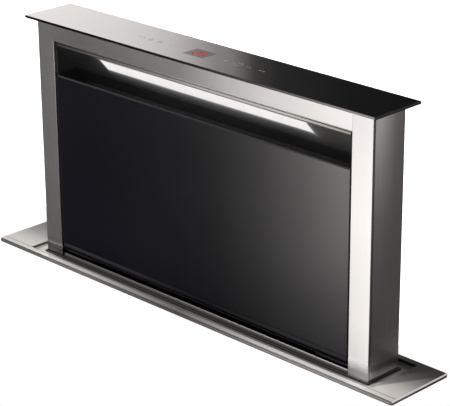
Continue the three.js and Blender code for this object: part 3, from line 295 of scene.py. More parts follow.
def circuit_board(name):
    """Green lacquered board with faint copper tracks."""
    material, tree, shader = new_material(name)
    tracks = add_node(tree, "TexBrick", {
        "Vector": add_node(tree, "TexCoord", {}, "Object"), "Scale": 120, "Mortar Size": 0.02,
        "Color1": (0.02, 0.12, 0.045, 1), "Color2": (0.025, 0.15, 0.055, 1),
        "Mortar": (0.06, 0.26, 0.1, 1),
    }, "Color")
    rough = noise_spread(object_noise(tree, 200), 0.25, 0.45)
    fill(shader, {"Base Color": tracks, "Roughness": rough})
    return material


def glowing(name, colour, strength):
    """Opal plastic lit from behind, a little uneven between its lamps."""
    material, tree, shader = new_material(name)
    lamps = object_noise(tree, 30, (1, 0.1, 0.1), 1)
    fill(shader, {
        "Base Color": (0.2, 0.195, 0.19, 1), "Emission Color": (*colour, 1),
        "Emission Strength": noise_spread(lamps, strength * 0.96, strength * 1.04),
        "Roughness": noise_spread(object_noise(tree, 900), 0.35, 0.5),
    })
    return material


def lamp_red(name):
    """A display's red bars, a little uneven."""
    material, tree, shader = new_material(name)
    cells = object_noise(tree, 600)
    fill(shader, {
        "Base Color": (0.06, 0.002, 0.002, 1), "Specular IOR Level": 0.1,
        "Emission Color": (1, 0.05, 0.06, 1),
        "Emission Strength": noise_spread(cells, 0.33, 0.44),
        "Roughness": noise_spread(cells, 0.45, 0.6),
    })
    return material


# ---- painted light and shade over a piece's own places, for the light that brushed steel gathers ----
SHADE_CORNER = (0.388, 0.045)  # where the tower's shade starts on the plate
SHADE_EDGE = (0.87, 0.49)  # the line that it ends at, by its x and y
SHADE_DEPTH = 0.58
COLUMN_EDGE = (-0.3109, -0.309)  # the left column's inner edge


def toned(material, make_tone):
    """The material with its base colour scaled by a tone over its own places."""
    tree, shader = shader_of(material)
    colour = shader.inputs["Base Color"].links[0].from_socket
    scaled = add_node(tree, "VectorMath", {})
    scaled.node.operation = "SCALE"
    fill(scaled.node, {0: colour, "Scale": make_tone(tree)})
    fill(shader, {"Base Color": scaled})
    return material


def tower_shade(tree):
    """The plate right of the tower, duller behind the line where the tower stops the light."""
    x, y = own_place(tree, "X"), own_place(tree, "Y")
    behind = less(
        product(less(y, SHADE_CORNER[1]), SHADE_EDGE[1]),
        product(less(x, SHADE_CORNER[0]), SHADE_EDGE[0]),
    )
    share = product(
        spread(behind, 0, SHADE_DEPTH, -0.002, 0.003), past(tree, "X", 0.36),
        past(tree, "Y", 0.041),
    )
    return less(1, share)


def plate_painted_light(tree):
    """Painted light and shade: bright in front and dark behind, with a painted dull bevel in front, a
    duller edge, a painted highlight on the right bevel, a darker line by the slot and the tower's painted
    shadow.
    """
    back = over(
        tree, "Y", (0.0265, 0.05, 0.07, 0.09, 0.11, 0.13, 0.1545),
        (1, 0.93, 0.72, 0.4, 0.22, 0.08, 0.05),
    )
    along = over(
        tree, "X", (-0.44, -0.35, -0.3, -0.2, -0.1, 0, 0.1, 0.2, 0.3, 0.38, 0.44),
        (0.68, 0.78, 1.1, 0.9, 0.58, 0.3, 0.7, 1.18, 1.3, 1.15, 0.9),
    )
    up = over_facing(tree, "Z", (0, 0.3, 0.5, 0.9, 0.98), (0.2, 0.2, 0.16, 0.16, 1))
    bevel_highlight = product(
        over_facing(tree, "X", (0.5, 0.65, 0.8, 0.95), (0, 0.9, 0.9, 0)),
        over_facing(tree, "Z", (0.45, 0.6), (0, 1)),
    )
    slot_edge = over(tree, "Y", (0.0368, 0.0374, 0.0386, 0.0392), (1, 0.4, 0.4, 1))
    return added(bevel_highlight, product(up, back, along, slot_edge, tower_shade(tree)))


def tray_painted_light(tree):
    """Painted light and shade: the recess floor is lighter in front of the tower than behind it, where the
    tower shades it.
    """
    along = over(
        tree, "X", (-0.37, -0.345, -0.3, 0.3, 0.36, 0.395), (1.5, 1.2, 0.14, 0.12, 0.3, 0.3),
    )
    front = product(
        over(tree, "Y", (0.053, 0.056), (1.3, 0)),
        within(own_place(tree, "X"), -0.29, 0.395, 0.03),
    )
    right = product(past(tree, "X", 0.3705), over(tree, "Y", (0.05, 0.1, 0.13), (1.4, 1.4, 0)))
    return product(along, added(added(front, 1), right))


def side_painted_light(tree):
    """A painted glow of light high up in front, and a foot painted lighter."""
    glow = product(
        over(tree, "Z", (0.74, 0.82, 0.9, 0.98, 1.04, 1.06), (0, 0.07, 0.2, 0.58, 1, 1.1)),
        over(
            tree, "Y", (0.0617, 0.066, 0.075, 0.09, 0.105, 0.1245), (1.05, 1, 0.87, 0.5, 0.15, 0),
        ), 2.7,
    )
    return added(glow, over(tree, "Z", (0.66, 0.67, 0.685, 0.7, 0.72), (2.9, 2.1, 1.6, 1.3, 1)))


def duller_foot(material):
    """Close over the plate the right column gathers light from a wider field."""
    tree, shader = shader_of(material)
    rough = shader.inputs["Roughness"].links[0].from_socket
    foot = over(tree, "Z", (0.655, 0.671, 0.685), (2.4, 2.2, 1))
    foot = blend_in(1, foot, past(tree, "X", 0))
    fill(shader, {"Roughness": product(rough, foot)})
    return material


# Painted light and shade along the top rail: lighter and darker stretches by x.
def rail_painted_light(tree):
    return over(
        tree, "X", (-0.31, -0.25, -0.12, -0.02, 0.08, 0.16, 0.24, 0.37),
        (1, 0.82, 0.8, 0.66, 0.92, 0.91, 0.8, 0.73),
    )


def column_painted_light(tree):
    """Painted light and shade: each column takes its tone from its height, and the left one has a painted
    highlight on its inner edge.
    """
    right = over(
        tree, "Z", (0.655, 0.666, 0.671, 0.676, 0.682, 0.74, 0.82, 0.9, 0.98, 1.04, 1.06),
        (2.3, 2.2, 1.5, 1.04, 0.94, 1.06, 1.04, 0.985, 0.83, 0.7, 0.68),
    )
    left = over(
        tree, "Z", (0.656, 0.66, 0.6635, 0.667, 0.671, 0.6745, 0.678, 0.682, 0.72),
        (0.31, 0.55, 1.45, 1.65, 0.42, 0.49, 0.8, 1, 1),
    )
    painted_edge_highlight = product(
        over(tree, "Z", (0.75, 0.9, 1, 1.026, 1.029), (0.15, 0.5, 1.2, 1.2, 0)),
        within(own_place(tree, "X"), *COLUMN_EDGE, 0.0004),
    )
    return blend_in(added(left, painted_edge_highlight), right, past(tree, "X", 0))


def lower_rail_painted_light(tree):
    """Painted light and shade: its upper face is lighter, the more so to the right; its front darkens into
    the recess.
    """
    up = over_facing(tree, "Z", (0.5, 0.8), (0, 1))
    along = over(tree, "X", (-0.35, -0.1, 0.1, 0.3), (0.5, 0.8, 1.6, 2.5))
    face = over(tree, "Z", (0.6505, 0.6525, 0.656), (0.25, 0.5, 0.8))
    return blend_in(face, along, up)


def glass_painted_reflection(tree):
    """Painted highlight and shade in its reflection: less of a mirror at the sloping edges, so that only
    its upper edge line is light, and hardly any over its lowest band, where shade falls.
    """
    up = over_facing(tree, "Z", (-0.3, -0.15, 0.15, 0.3), (0.1, 1, 1, 1.6))
    foot = over(tree, "Z", (0.668, 0.6686, 0.677, 0.679), (0.05, 0.45, 0.5, 1))
    return product(up, foot, over(tree, "X", (0.3255, 0.3262), (1, 0.05)))


def glass_tone(tree):
    """Its blue cast shows only on the left."""
    return over(tree, "X", (-0.12, 0.02), (1, 0.4))


def shade_behind_glass(tree):
    """Painted shade: the panel's lowest part lies in the gap behind the glass's upper edge and is darker
    there.
    """
    return over(tree, "Z", (0.9725, 0.9775), (0.4, 1))


def liner_painted_shade(tree):
    """Painted light and shade: the lip and the panel under it are darker to the left."""
    lip = over(
        tree, "X", (-0.31, -0.19, -0.05, 0.03, 0.2, 0.28, 0.33), (0.35, 0.85, 1.6, 2.3, 2.3, 1.6, 1.1),
    )
    panel = product(over(tree, "X", (-0.3, -0.22, -0.15), (0.25, 0.45, 1)), shade_behind_glass(tree))
    return blend_in(panel, lip, past(tree, "Z", LIP_BOTTOM))


# ---- light strip: its glow painted on the sheet round it ----
GLOW_PLACES = (0, 0.0006, 0.002, 0.004, 0.006, 0.009, 0.013, 0.018, 0.025, 0.035)
GLOW_LEVELS = (0.62, 0.42, 0.22, 0.12, 0.075, 0.045, 0.028, 0.017, 0.01, 0.007)
STRIP_HALF_DEPTH = 0.003
# The strip's hood keeps its glow off the sheet left of it and above it.
LONGER_LEFT = 1.6
LONGER_UP = 2.4


def strip_distance(tree):
    """How far a place of the liner is from the strip, in metres."""
    middle = (STRIP_LOW + STRIP_HIGH) / 2
    cosine, sine = math.cos(STRIP_SLOPE), math.sin(STRIP_SLOPE)
    half_length = (STRIP_HIGH.x - STRIP_LOW.x) / 2
    half_width = (STRIP_HIGH.z - STRIP_LOW.z) / 2 / sine
    x, y, z = [less(own_place(tree, axis), centre) for axis, centre in zip("XYZ", middle)]
    down = less(product(y, cosine), product(z, sine))
    out = added(product(y, sine), product(z, cosine))
    total = 0
    for value, half, before in (
        (x, half_length, LONGER_LEFT), (down, half_width, LONGER_UP), (out, STRIP_HALF_DEPTH, 1),
    ):
        away = less(math_node("ABSOLUTE", value), half)
        away = math_node("MAXIMUM", away, 0)
        away = product(away, spread(value, before, 1, -0.0001, 0.0001))
        total = math_node("MULTIPLY_ADD", away, away, total)
    return math_node("SQRT", total)


def painted_strip_glow(material):
    """A painted glow from the strip: only the sloping panel is lit by it; the lip and the flange over it
    are in their own shade.
    """
    tree, shader = shader_of(material)
    glow = product(
        curve(strip_distance(tree), GLOW_PLACES, GLOW_LEVELS),
        over(tree, "X", (-0.2, -0.05, 0.1, 0.2), (1, 1.6, 1.4, 1)),
        less(1, past(tree, "Z", LIP_BOTTOM)), shade_behind_glass(tree),
    )
    fill(shader, {"Emission Color": (0.97, 0.96, 1, 1), "Emission Strength": glow})
    return material


def shining(material, make_level):
    """The material with its mirror share scaled over its own places."""
    tree, shader = shader_of(material)
    fill(shader, {"Specular IOR Level": product(make_level(tree), 0.5)})
    return material


# ---- the finishes ----
MOULDED = {  # colour, roughness, grain size, depth of the grain
    "black_paint": ((0.018, 0.018, 0.019), 0.42, 900, 0.3),
    "panel_seal": ((0.02, 0.02, 0.023), 0.8, 700, 0.4),
    "liner_foam": ((0.007, 0.007, 0.009), 0.9, 500, 0.6),
    "frame_paint": ((0.003, 0.003, 0.0035), 0.7, 900, 0.3),
    "touch_mark": ((0.2, 0.2, 0.21), 0.75, 1400, 0.1),
    "black_rubber": ((0.012, 0.012, 0.012), 0.75, 700, 0.5),
    "black_plastic": ((0.02, 0.02, 0.021), 0.5),
    "grey_plastic": ((0.2, 0.205, 0.21), 0.48),
    "white_plastic": ((0.72, 0.71, 0.68), 0.42),
}
METALS = {  # colour, roughness, the grain's way, and how much the roughness varies
    "back_steel": ((0.5, 0.49, 0.48), 0.32, "x", 0.04),
    "filter_frame": ((0.56, 0.57, 0.58), 0.38, "x", 0.06),
    "filter_mesh": ((0.5, 0.51, 0.52), 0.42, "none", 0.08),
    "turned_steel": ((0.5, 0.505, 0.51), 0.22, "none", 0.05),
    "bronze": ((0.42, 0.27, 0.1), 0.3, "none", 0.06),
    "screw_steel": ((0.42, 0.425, 0.43), 0.26, "none", 0.05),
}
FINISHES = {
    "column": duller_foot(toned(
        metal("column_steel", (0.43,) * 3, 0.18, "z", 0.012, tint=0.01, depth=0), column_painted_light,
    )),
    "rail": toned(metal("rail_steel", (0.43,) * 3, 0.17, "x", 0.012, tint=0.01, depth=0), rail_painted_light),
    "lower_rail": toned(
        metal("lower_rail_steel", (0.36, 0.35, 0.34), 0.26, "x", 0.03, 0.6), lower_rail_painted_light,
    ),
    "plate": toned(metal("plate_steel", (0.62, 0.61, 0.6), 0.3, "x", 0.03, 0.4), plate_painted_light),
    "tray": toned(metal("tray_steel", (0.5, 0.49, 0.48), 0.3, "x", 0.03, 0.4), tray_painted_light),
    "side": toned(metal("side_steel", (0.29, 0.285, 0.28), 0.25, "z", 0.02), side_painted_light),
    "liner": painted_strip_glow(
        toned(metal("liner_steel", (0.16, 0.155, 0.15), 0.3, "x", 0.03), liner_painted_shade),
    ),
    "cap_glass": dark_glass("cap_glass", (0.0016, 0.0015, 0.0018), 1.62, 0.03),
    "panel_glass": toned(
        shining(dark_glass("panel_glass", (0.003, 0.0028, 0.0055), 1.52, 0.035), glass_painted_reflection), glass_tone,
    ),
    "window": dark_glass("tinted_window", (0.034, 0.032, 0.032), 1.16, 0.05),
    "zinc_sheet": zinc("zinc_sheet", (0.56, 0.57, 0.58)),
    "board": circuit_board("circuit_board"),
    "light": glowing("lit_diffuser", (1, 0.97, 0.965), 0.66),
    "digit": lamp_red("display_digit"),
}
FINISHES.update((name, moulded(name, *values)) for name, values in MOULDED.items())
FINISHES.update((name, metal(name, *values)) for name, values in METALS.items())

# The nodes that wear each finish; a star stands for left and right.
WORN_BY = {
    "plate": "trim_plate", "tray": "recess_tray", "column": "*_column", "side": "*_side_panel",
    "back_steel": "back_panel", "rail": "top_rail", "lower_rail": "lower_rail", "cap_glass": "cap",
    "window": "display_window", "liner": "intake_liner", "light": "led_diffuser",
    "filter_frame": "filter_*", "bronze": "lift_nut_*", "panel_glass": "glass_panel",
    "frame_paint": "panel_frame", "board": "control_board led_board power_board",
    "zinc_sheet": "casing_front_panel casing_back_panel casing_*_side casing_floor floor_bracket_* "
                  "worktop_clamp_* filter_rail_top filter_rail_bottom carriage blower_housing",
    "turned_steel": "guide_rail_* lead_screw_* screw_pulley_* motor_pulley",
    "black_rubber": "flange_gasket wiper_seal drive_belt",
    "black_paint": "lift_gearmotor blower_motor",
    "black_plastic": "screw_bearing_* inlet_ring impeller *_flap cable_gland",
    "grey_plastic": "outlet_spigot control_box control_box_lid",
    "white_plastic": "guide_shoe_* terminal_block",
}


def dress_nodes():
    for finish, names in WORN_BY.items():
        for pattern in names.split():
            for name in {pattern.replace("*", side) for side in ("left", "right")}:
                materials = NODES[name].data.materials
                materials.clear()
                materials.append(FINISHES[finish])


# ---- light: a studio round the object, laid out by direction ----
# Degrees round from the y axis or its opposite, or above the horizon, and the levels there.
SKY_HEIGHT = ((-90, -30, 0, 90), (0.45, 0.45, 0.5, 0.5))
FRONT_ROUND = (
    (36, 39.5, 41.2, 42.5, 43.9, 45.2, 46.6, 48, 49.3, 51, 54, 58, 64),
    (3.9, 3.5, 3, 1.65, 0.75, 0.33, 0.17, 0.1, 0.065, 0.07, 0.12, 0.22, 0.36),
)
FRONT_HEIGHT = ((-30, -26, -24.4, -22.7, -20.7, -18.7, -14), (0.1, 0.17, 0.42, 0.8, 1.05, 1.3, 1.6))
LOW_GLOW = 5
CAP_ROUND = (
    (36, 39.3, 41, 43.3, 44.1, 44.85, 45.35, 46.7, 47.5, 48.5, 50.5, 56),
    (0.03, 0.03, 0.04, 0.08, 0.19, 0.8, 0.97, 2, 2.4, 2.7, 3, 3.2),
)
PLATE_ROUND = ((34, 38.4, 40.5, 44, 50, 58), (0.12, 0.12, 0.3, 0.3, 0.2, 0.15))
SIDE_HEIGHT = ((-32, -26, -22, -18, -12), (0.08, 0.1, 0.13, 0.25, 0.4))
LIGHT_COLOUR = (1, 0.955, 0.925, 1)


def make_world():
    world = bpy.data.worlds.new("studio")
    bpy.context.scene.world = world
    world.use_nodes = True
    tree = world.node_tree
    x, y, z = [part_of(tree, "TexCoord", "Generated", axis) for axis in "XYZ"]
    left, front = product(x, -1), product(y, -1)

    def degrees(operation, *values):
        return product(math_node(operation, *values), 180 / math.pi)

    height = degrees("ARCSINE", z)
    round_front = degrees("ARCTAN2", left, front)
    round_back = degrees("ARCTAN2", left, y)
    round_right = degrees("ARCTAN2", x, y)
    front_light = product(
        curve(round_front, *FRONT_ROUND), curve(height, *FRONT_HEIGHT),
    )
    level = curve(height, *SKY_HEIGHT)
    # Each patch of light: its reach round and up, each with a soft width, and its level.
    for angle, reach_round, reach_up, light in (
        (round_back, (36, 56, 4), (21, 30, 3), curve(round_back, *PLATE_ROUND)),
        (round_back, (37, 56, 4), (12.5, 20, 1.5), curve(round_back, *CAP_ROUND)),
        (round_front, (37, 61, 6), (-30, -13, 4), front_light),
        (round_right, (34, 54, 8), (-34, -12, 6), curve(height, *SIDE_HEIGHT)),
        (round_front, (26, 38.6, 1.6), (-40, -25, 2.5), LOW_GLOW),
    ):
        share = product(within(angle, *reach_round), within(height, *reach_up))
        level = blend_in(level, light, share)
    fill(tree.nodes["Background"], {"Strength": level, "Color": LIGHT_COLOUR})


SUN_STRENGTH = 3.6
SUN_COLOUR = (1, 0.965, 0.93)
SUN_HEIGHT = math.radians(67)
SUN_WAY = (0.47, 0.88)  # the way that its light goes over the floor
SUN_SPREAD = math.radians(2.5)


def make_sun():
    data = bpy.data.lights.new("sun", "SUN")
    data.energy = SUN_STRENGTH
    data.angle = SUN_SPREAD
    data.color = SUN_COLOUR
    level = math.cos(SUN_HEIGHT)
    way = Vector((SUN_WAY[0] * level, SUN_WAY[1] * level, -math.sin(SUN_HEIGHT)))
    add_object("sun", data).rotation_euler = way.to_track_quat("-Z", "Y").to_euler()


# ---- stage: a white worktop, a pale floor and a white room that only the camera sees ----
WORKTOP_THICKNESS = 0.038
WORKTOP_FRONT = 0.56
WORKTOP_BACK = 0.03
WORKTOP_SIDE = 0.6
CUTOUT_ROOM = 0.003
FLOOR_RADIUS = 30
ROOM_RADIUS = 34


def stage_material(name, emission, diffuse=0):
    material, _, shader = new_material(name)
    fill(shader, {
        "Base Color": (diffuse, diffuse, diffuse, 1), "Roughness": 0.9, "Specular IOR Level": 0,
        "Emission Color": (1, 1, 1, 1), "Emission Strength": emission,
    })
    return material


def new_piece(name, build, materials):
    mesh = bpy.data.meshes.new(name)
    build.to_mesh(mesh)
    build.free()
    for material in materials:
        mesh.materials.append(material)
    return add_object(name, mesh)


def stage_piece(name, build, materials, lights=False):
    piece = new_piece(name, build, materials)
    piece.visible_glossy = False
    piece.visible_transmission = False
    piece.visible_shadow = False
    piece.visible_diffuse = lights
    return piece


def box_outline(x0, y0, x1, y1):
    return [(x0, y0), (x1, y0), (x1, y1), (x0, y1)]


def join_rings(build, lower, upper, material=0):
    """Walls between two rings of corners."""
    for index, corner in enumerate(lower):
        after = (index + 1) % len(lower)
        wall = build.faces.new((corner, lower[after], upper[after], upper[index]))
        wall.material_index = material


def make_worktop():
    """A slab with a cut-out round the casing, its edge painted darker than its upper face, as shade."""
    room = CUTOUT_ROOM
    inner = (CASING_LOW.x - room, CASING_LOW.y - room, CASING_HIGH.x + room, CASING_BACK + room)
    outer = (
        PLATE_LOW.x - WORKTOP_SIDE, PLATE_LOW.y - WORKTOP_FRONT,
        PLATE_HIGH.x + WORKTOP_SIDE, PLATE_HIGH.y + WORKTOP_BACK,
    )
    build = bmesh.new()
    outer_top, outer_low, inner_top, inner_low = [
        [build.verts.new((x, y, z)) for x, y in box_outline(*sides)]
        for sides in (outer, inner) for z in (WORKTOP_TOP - 0.0002, WORKTOP_TOP - WORKTOP_THICKNESS)
    ]
    join_rings(build, outer_top, inner_top)
    join_rings(build, outer_low, outer_top, material=1)
    join_rings(build, inner_top, inner_low, material=1)
    join_rings(build, inner_low, outer_low, material=1)
    materials = (stage_material("worktop_top", 1), stage_material("worktop_painted_shade_edge", 0.86))
    stage_piece("worktop", build, materials)


def make_floor():
    build = bmesh.new()
    bmesh.ops.create_circle(build, cap_ends=True, segments=64, radius=FLOOR_RADIUS)
    floor = stage_piece("floor", build, (stage_material("floor", 0.55, 0.8),), lights=True)
    floor.location.z = -0.0005


def make_room():
    build = bmesh.new()
    bmesh.ops.create_uvsphere(build, u_segments=32, v_segments=16, radius=ROOM_RADIUS)
    stage_piece("room", build, (stage_material("room", 1),))


# ---- fine pieces that the solids leave out ----
FRONT, BACK, LEFT, RIGHT, DOWN = (0, -1, 0), (0, 1, 0), (-1, 0, 0), (1, 0, 0), (0, 0, -1)
SIDES = ("left", "right")
BLOWER_X, BLOWER_Z = 0.011, 0.23  # the blower's axis, and the outlet's height
DUCT_Y = -0.0595


def to_piece(name, build, finish, body="chassis"):
    bmesh.ops.recalc_face_normals(build, faces=build.faces)
    piece = new_piece(name, build, (FINISHES[finish],))
    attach(piece, body)


def seat(place, axis):
    """A move to a place with z turned to the given direction."""
    turn = Vector(axis).to_track_quat("Z", "Y").to_matrix().to_4x4()
    return Matrix.Translation(place) @ turn


def join_all(build, rings, closed=False):
    """Walls through all the rings, and flat ends or a way back to the first ring."""
    for lower, upper in zip(rings, rings[1:]):
        join_rings(build, lower, upper)
    if closed:
        join_rings(build, rings[-1], rings[0])
    else:
        build.faces.new(rings[0])
        build.faces.new(rings[-1])


def add_prism(build, outline, low, high, turn=None, inset=0):
    """A flat outline pushed up from low to high, its upper rim drawn in a little."""
    middle = sum((Vector(point) for point in outline), Vector((0, 0))) / len(outline)
    rings = []
    for height, shrink in ((low, 0), (high - inset, 0), (high, inset)):
        ring = []
        for point in outline:
            out = Vector(point) - middle
            place = middle + out * (1 - shrink / max(out.length, 1e-6))
            spot = Vector((place.x, place.y, height))
            ring.append(build.verts.new(turn @ spot if turn else spot))
        rings.append(ring)
    join_all(build, rings)


def polar(x, y, reach, angle):
    return x + reach * math.cos(angle), y + reach * math.sin(angle)


def circle(radius, count, x=0, y=0):
    return [polar(x, y, radius, 2 * math.pi * i / count) for i in range(count)]


def add_turned(build, profile, turn, count, closed=True):
    """A profile of radius and height turned round an axis."""
    rings = [
        [build.verts.new(turn @ Vector((x, y, height))) for x, y in circle(radius, count)]
        for radius, height in profile
    ]
    join_all(build, rings, closed)


HEAD_PROFILE = ((1, 0), (1, 0.12), (0.93, 0.3), (0.78, 0.43), (0.58, 0.5))
HEAD_SIDES = 24
SOCKET_SIZE = 0.46
SOCKET_FLOOR = 0.12
FLUSH_HEIGHT = 0.00015


def add_head(build, place, axis, radius, flush):
    """A screw's button head with a six-sided socket, or a flush one."""
    turn = seat(place, axis)
    scale = FLUSH_HEIGHT / (HEAD_PROFILE[-1][1] * radius) if flush else 1
    rings = []
    for share, height in HEAD_PROFILE:
        outline = circle(share * radius, HEAD_SIDES)
        rings.append([(x, y, height * radius * scale) for x, y in outline])
    for height in (HEAD_PROFILE[-1][1], SOCKET_FLOOR):
        ring = []
        for index in range(HEAD_SIDES):
            angle = 2 * math.pi * index / HEAD_SIDES
            from_flat = (angle % (math.pi / 3)) - math.pi / 6
            reach = SOCKET_SIZE * radius * math.cos(math.pi / 6) / math.cos(from_flat)
            ring.append((*polar(0, 0, reach, angle), height * radius * scale))
        rings.append(ring)
    join_all(build, [[build.verts.new(turn @ Vector(spot)) for spot in ring] for ring in rings])


def screw_heads(name, spots, axis, radius, body="chassis", flush=False):
    build = bmesh.new()
    for spot in spots:
        add_head(build, Vector(spot), axis, radius, flush)
    to_piece(name, build, "screw_steel", body)


def grid(xs, ys, zs):
    return [(x, y, z) for x in xs for y in ys for z in zs]


def ends(low, high, margin):
    return low + margin, high - margin


# The radii of the screws' heads.
SHEET_SCREW = 0.0036
PANEL_SCREW = 0.0032
LEG_SCREW = 0.0042
LID_SCREW = 0.003
BEARING_SCREW = 0.0026
TERMINAL_SCREW = 0.0024
# Where the screws sit: rows of x, y or z.
CASING_SCREW_HEIGHTS = (0.16, 0.26, 0.36, 0.46, 0.54, 0.625)
CASING_BACK_ROWS = ((-0.19, 0.011, 0.21), (CASING_BACK,), (0.04, 0.64))
CLAMP_ROWS = ((0.078, 0.103), (0.58, 0.598))
BRACKET_ROWS = ((0.05, 0.13), (0.045, 0.1))
HOUSING_HEIGHTS = (0.082, 0.18, 0.28, 0.378)
INLET_SCREW_CIRCLE = 0.0605
SPIGOT_SCREW_CIRCLE = 0.0815
SPIGOT_FLANGE_X = 0.1783
GEARBOX_ROWS = ((0.0775,), (0.0595, 0.0745))
TERMINAL_PITCH = 0.012
TERMINAL_HEIGHT = 0.4745
TOWER_SCREW_HEIGHTS = (0.58, 0.7, 0.82, 0.94, 1.05)
TOWER_TOP_ROWS = ((-0.16, 0.011, 0.18), (TOWER_HIGH.y,), (1.05,))
CARRIAGE_ROWS = ((-0.335, 0.357), (0.063, 0.118))


def make_screw_heads():
    edges = ends(CASING_LOW.x, CASING_HIGH.x, 0.008)
    spots = grid(edges, (CASING_LOW.y,), CASING_SCREW_HEIGHTS)
    screw_heads("casing_front_screws", spots, FRONT, SHEET_SCREW)
    spots = grid(edges, (CASING_BACK,), CASING_SCREW_HEIGHTS) + grid(*CASING_BACK_ROWS)
    screw_heads("casing_back_screws", spots, BACK, SHEET_SCREW)
    for index, (name, way) in enumerate(zip(SIDES, (LEFT, RIGHT))):
        low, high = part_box(f"worktop_clamp_{name}")
        leg = ends(low.x, high.x, 0.022)[index]
        screw_heads(f"clamp_{name}_screws", grid((leg,), *CLAMP_ROWS), way, LEG_SCREW)
        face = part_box(f"floor_bracket_{name}")[index].x
        screw_heads(f"bracket_{name}_screws", grid((face,), *BRACKET_ROWS), way, LEG_SCREW)
        low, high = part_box(f"screw_bearing_{name}")
        spots = grid(ends(low.x, high.x, 0.005), (low.y,), ((low.z + high.z) / 2,))
        screw_heads(f"bearing_{name}_screws", spots, FRONT, BEARING_SCREW)
    low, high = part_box("blower_housing")
    spots = grid(ends(low.x, high.x, 0.009), (low.y,), HOUSING_HEIGHTS)
    spots += [(x, low.y, z) for x, z in circle(INLET_SCREW_CIRCLE, 6, BLOWER_X, BLOWER_Z)]
    screw_heads("housing_screws", spots, FRONT, SHEET_SCREW)
    low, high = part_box("control_box_lid")
    spots = grid(ends(low.x, high.x, 0.007), (low.y,), ends(low.z, high.z, 0.007))
    screw_heads("lid_screws", spots, FRONT, LID_SCREW)
    spots = [(SPIGOT_FLANGE_X, y, z) for y, z in circle(SPIGOT_SCREW_CIRCLE, 6, DUCT_Y, BLOWER_Z)]
    screw_heads("spigot_screws", spots, RIGHT, PANEL_SCREW)
    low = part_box("lift_gearmotor")[0]
    spots = grid((low.x + 0.006, low.x + 0.058), *GEARBOX_ROWS)
    screw_heads("gearbox_screws", spots, FRONT, BEARING_SCREW)
    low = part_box("terminal_block")[0]
    spots = [(low.x + TERMINAL_PITCH * (way + 0.5), low.y, TERMINAL_HEIGHT) for way in range(5)]
    screw_heads("terminal_screws", spots, FRONT, TERMINAL_SCREW)
    spots = grid(ends(TOWER_LOW.x, TOWER_HIGH.x, 0.006), (TOWER_HIGH.y,), TOWER_SCREW_HEIGHTS)
    spots += grid(*TOWER_TOP_ROWS)
    screw_heads("back_panel_screws", spots, BACK, PANEL_SCREW, "tower", flush=True)
    spots = grid(*CARRIAGE_ROWS, (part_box("carriage")[0].z,))
    screw_heads("carriage_bolts", spots, DOWN, LEG_SCREW, "tower")


# ---- lift: screw threads, pulley rims and belt teeth ----
THREAD_START, THREAD_END = 0.0515, 0.6165
THREAD_PITCH = 0.004
THREAD_STEPS = 12
THREAD_PROFILE = ((-0.0002, -0.0014), (0.0003, -0.0006), (0.0003, 0.0006), (-0.0002, 0.0014))


def make_threads():
    for name in SIDES:
        low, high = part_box(f"lead_screw_{name}")
        centre = (low + high) / 2
        radius = (high.x - low.x) / 2
        build = bmesh.new()
        count = int((THREAD_END - THREAD_START) / THREAD_PITCH * THREAD_STEPS)
        before = None
        for step in range(count + 1):
            angle = 2 * math.pi * step / THREAD_STEPS
            height = THREAD_START + THREAD_PITCH * step / THREAD_STEPS
            row = []
            for reach, lift in THREAD_PROFILE:
                x, y = polar(centre.x, centre.y, radius + reach, angle)
                row.append(build.verts.new((x, y, height + lift)))
            if before:
                join_rings(build, before, row)
            else:
                build.faces.new(row)
            before = row
        build.faces.new(before)
        to_piece(f"screw_thread_{name}", build, "turned_steel", f"{name}_screw")


RIM_RADIUS = 0.0185
RIM_SIDES = 40
RIM_PLACES = ((0.0483, 1), (0.0397, -1))  # over and under the belt
RIM_PROFILE = ((0, 0), (1, 0), (1, 0.0005), (0.94, 0.0008), (0, 0.0008))
# The pulleys, the bodies that they turn with, and the radius inside their rims.
PULLEYS = (
    ("screw_pulley_left", "left_screw", 0.0063), ("screw_pulley_right", "right_screw", 0.0063),
    ("motor_pulley", "lift_shaft", 0.0053),
)
BELT_LOW, BELT_HIGH = 0.0402, 0.0478


def make_pulley_rims():
    for name, body, inner in PULLEYS:
        low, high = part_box(name)
        centre = (low + high) / 2
        profile = [(inner + share * (RIM_RADIUS - inner), height) for share, height in RIM_PROFILE]
        build = bmesh.new()
        for place, way in RIM_PLACES:
            add_turned(build, profile, seat((centre.x, centre.y, place), (0, 0, way)), RIM_SIDES)
        to_piece(f"{name}_rims", build, "turned_steel", body)


PULLEY_CENTRES = ((-0.368, 0.0685), (0.39, 0.0685), (-0.239, 0.1055))
BELT_INSIDE = 0.0163
TOOTH_PITCH = 0.005
TOOTH = ((-0.0012, -0.0001), (0.0012, -0.0001), (0.0008, 0.0007), (-0.0008, 0.0007))
RUN_MARGIN = 0.006


def make_belt_teeth():
    """Teeth on the belt's inner side, along its three straight runs."""
    build = bmesh.new()
    for index, start in enumerate(PULLEY_CENTRES):
        start, end = Vector(start), Vector(PULLEY_CENTRES[(index + 1) % 3])
        way = (end - start).normalized()
        inward = Vector((-way.y, way.x))
        length = (end - start).length
        for step in range(int((length - 2 * RUN_MARGIN) / TOOTH_PITCH)):
            if RUN_MARGIN <= step * TOOTH_PITCH <= length - 4 * RUN_MARGIN:
                middle = start + way * (RUN_MARGIN + TOOTH_PITCH * (step + 0.5)) - inward * BELT_INSIDE
                outline = [tuple(middle + way * along + inward * deep) for along, deep in TOOTH]
                add_prism(build, outline, BELT_LOW, BELT_HIGH)
    to_piece("belt_teeth", build, "black_rubber")


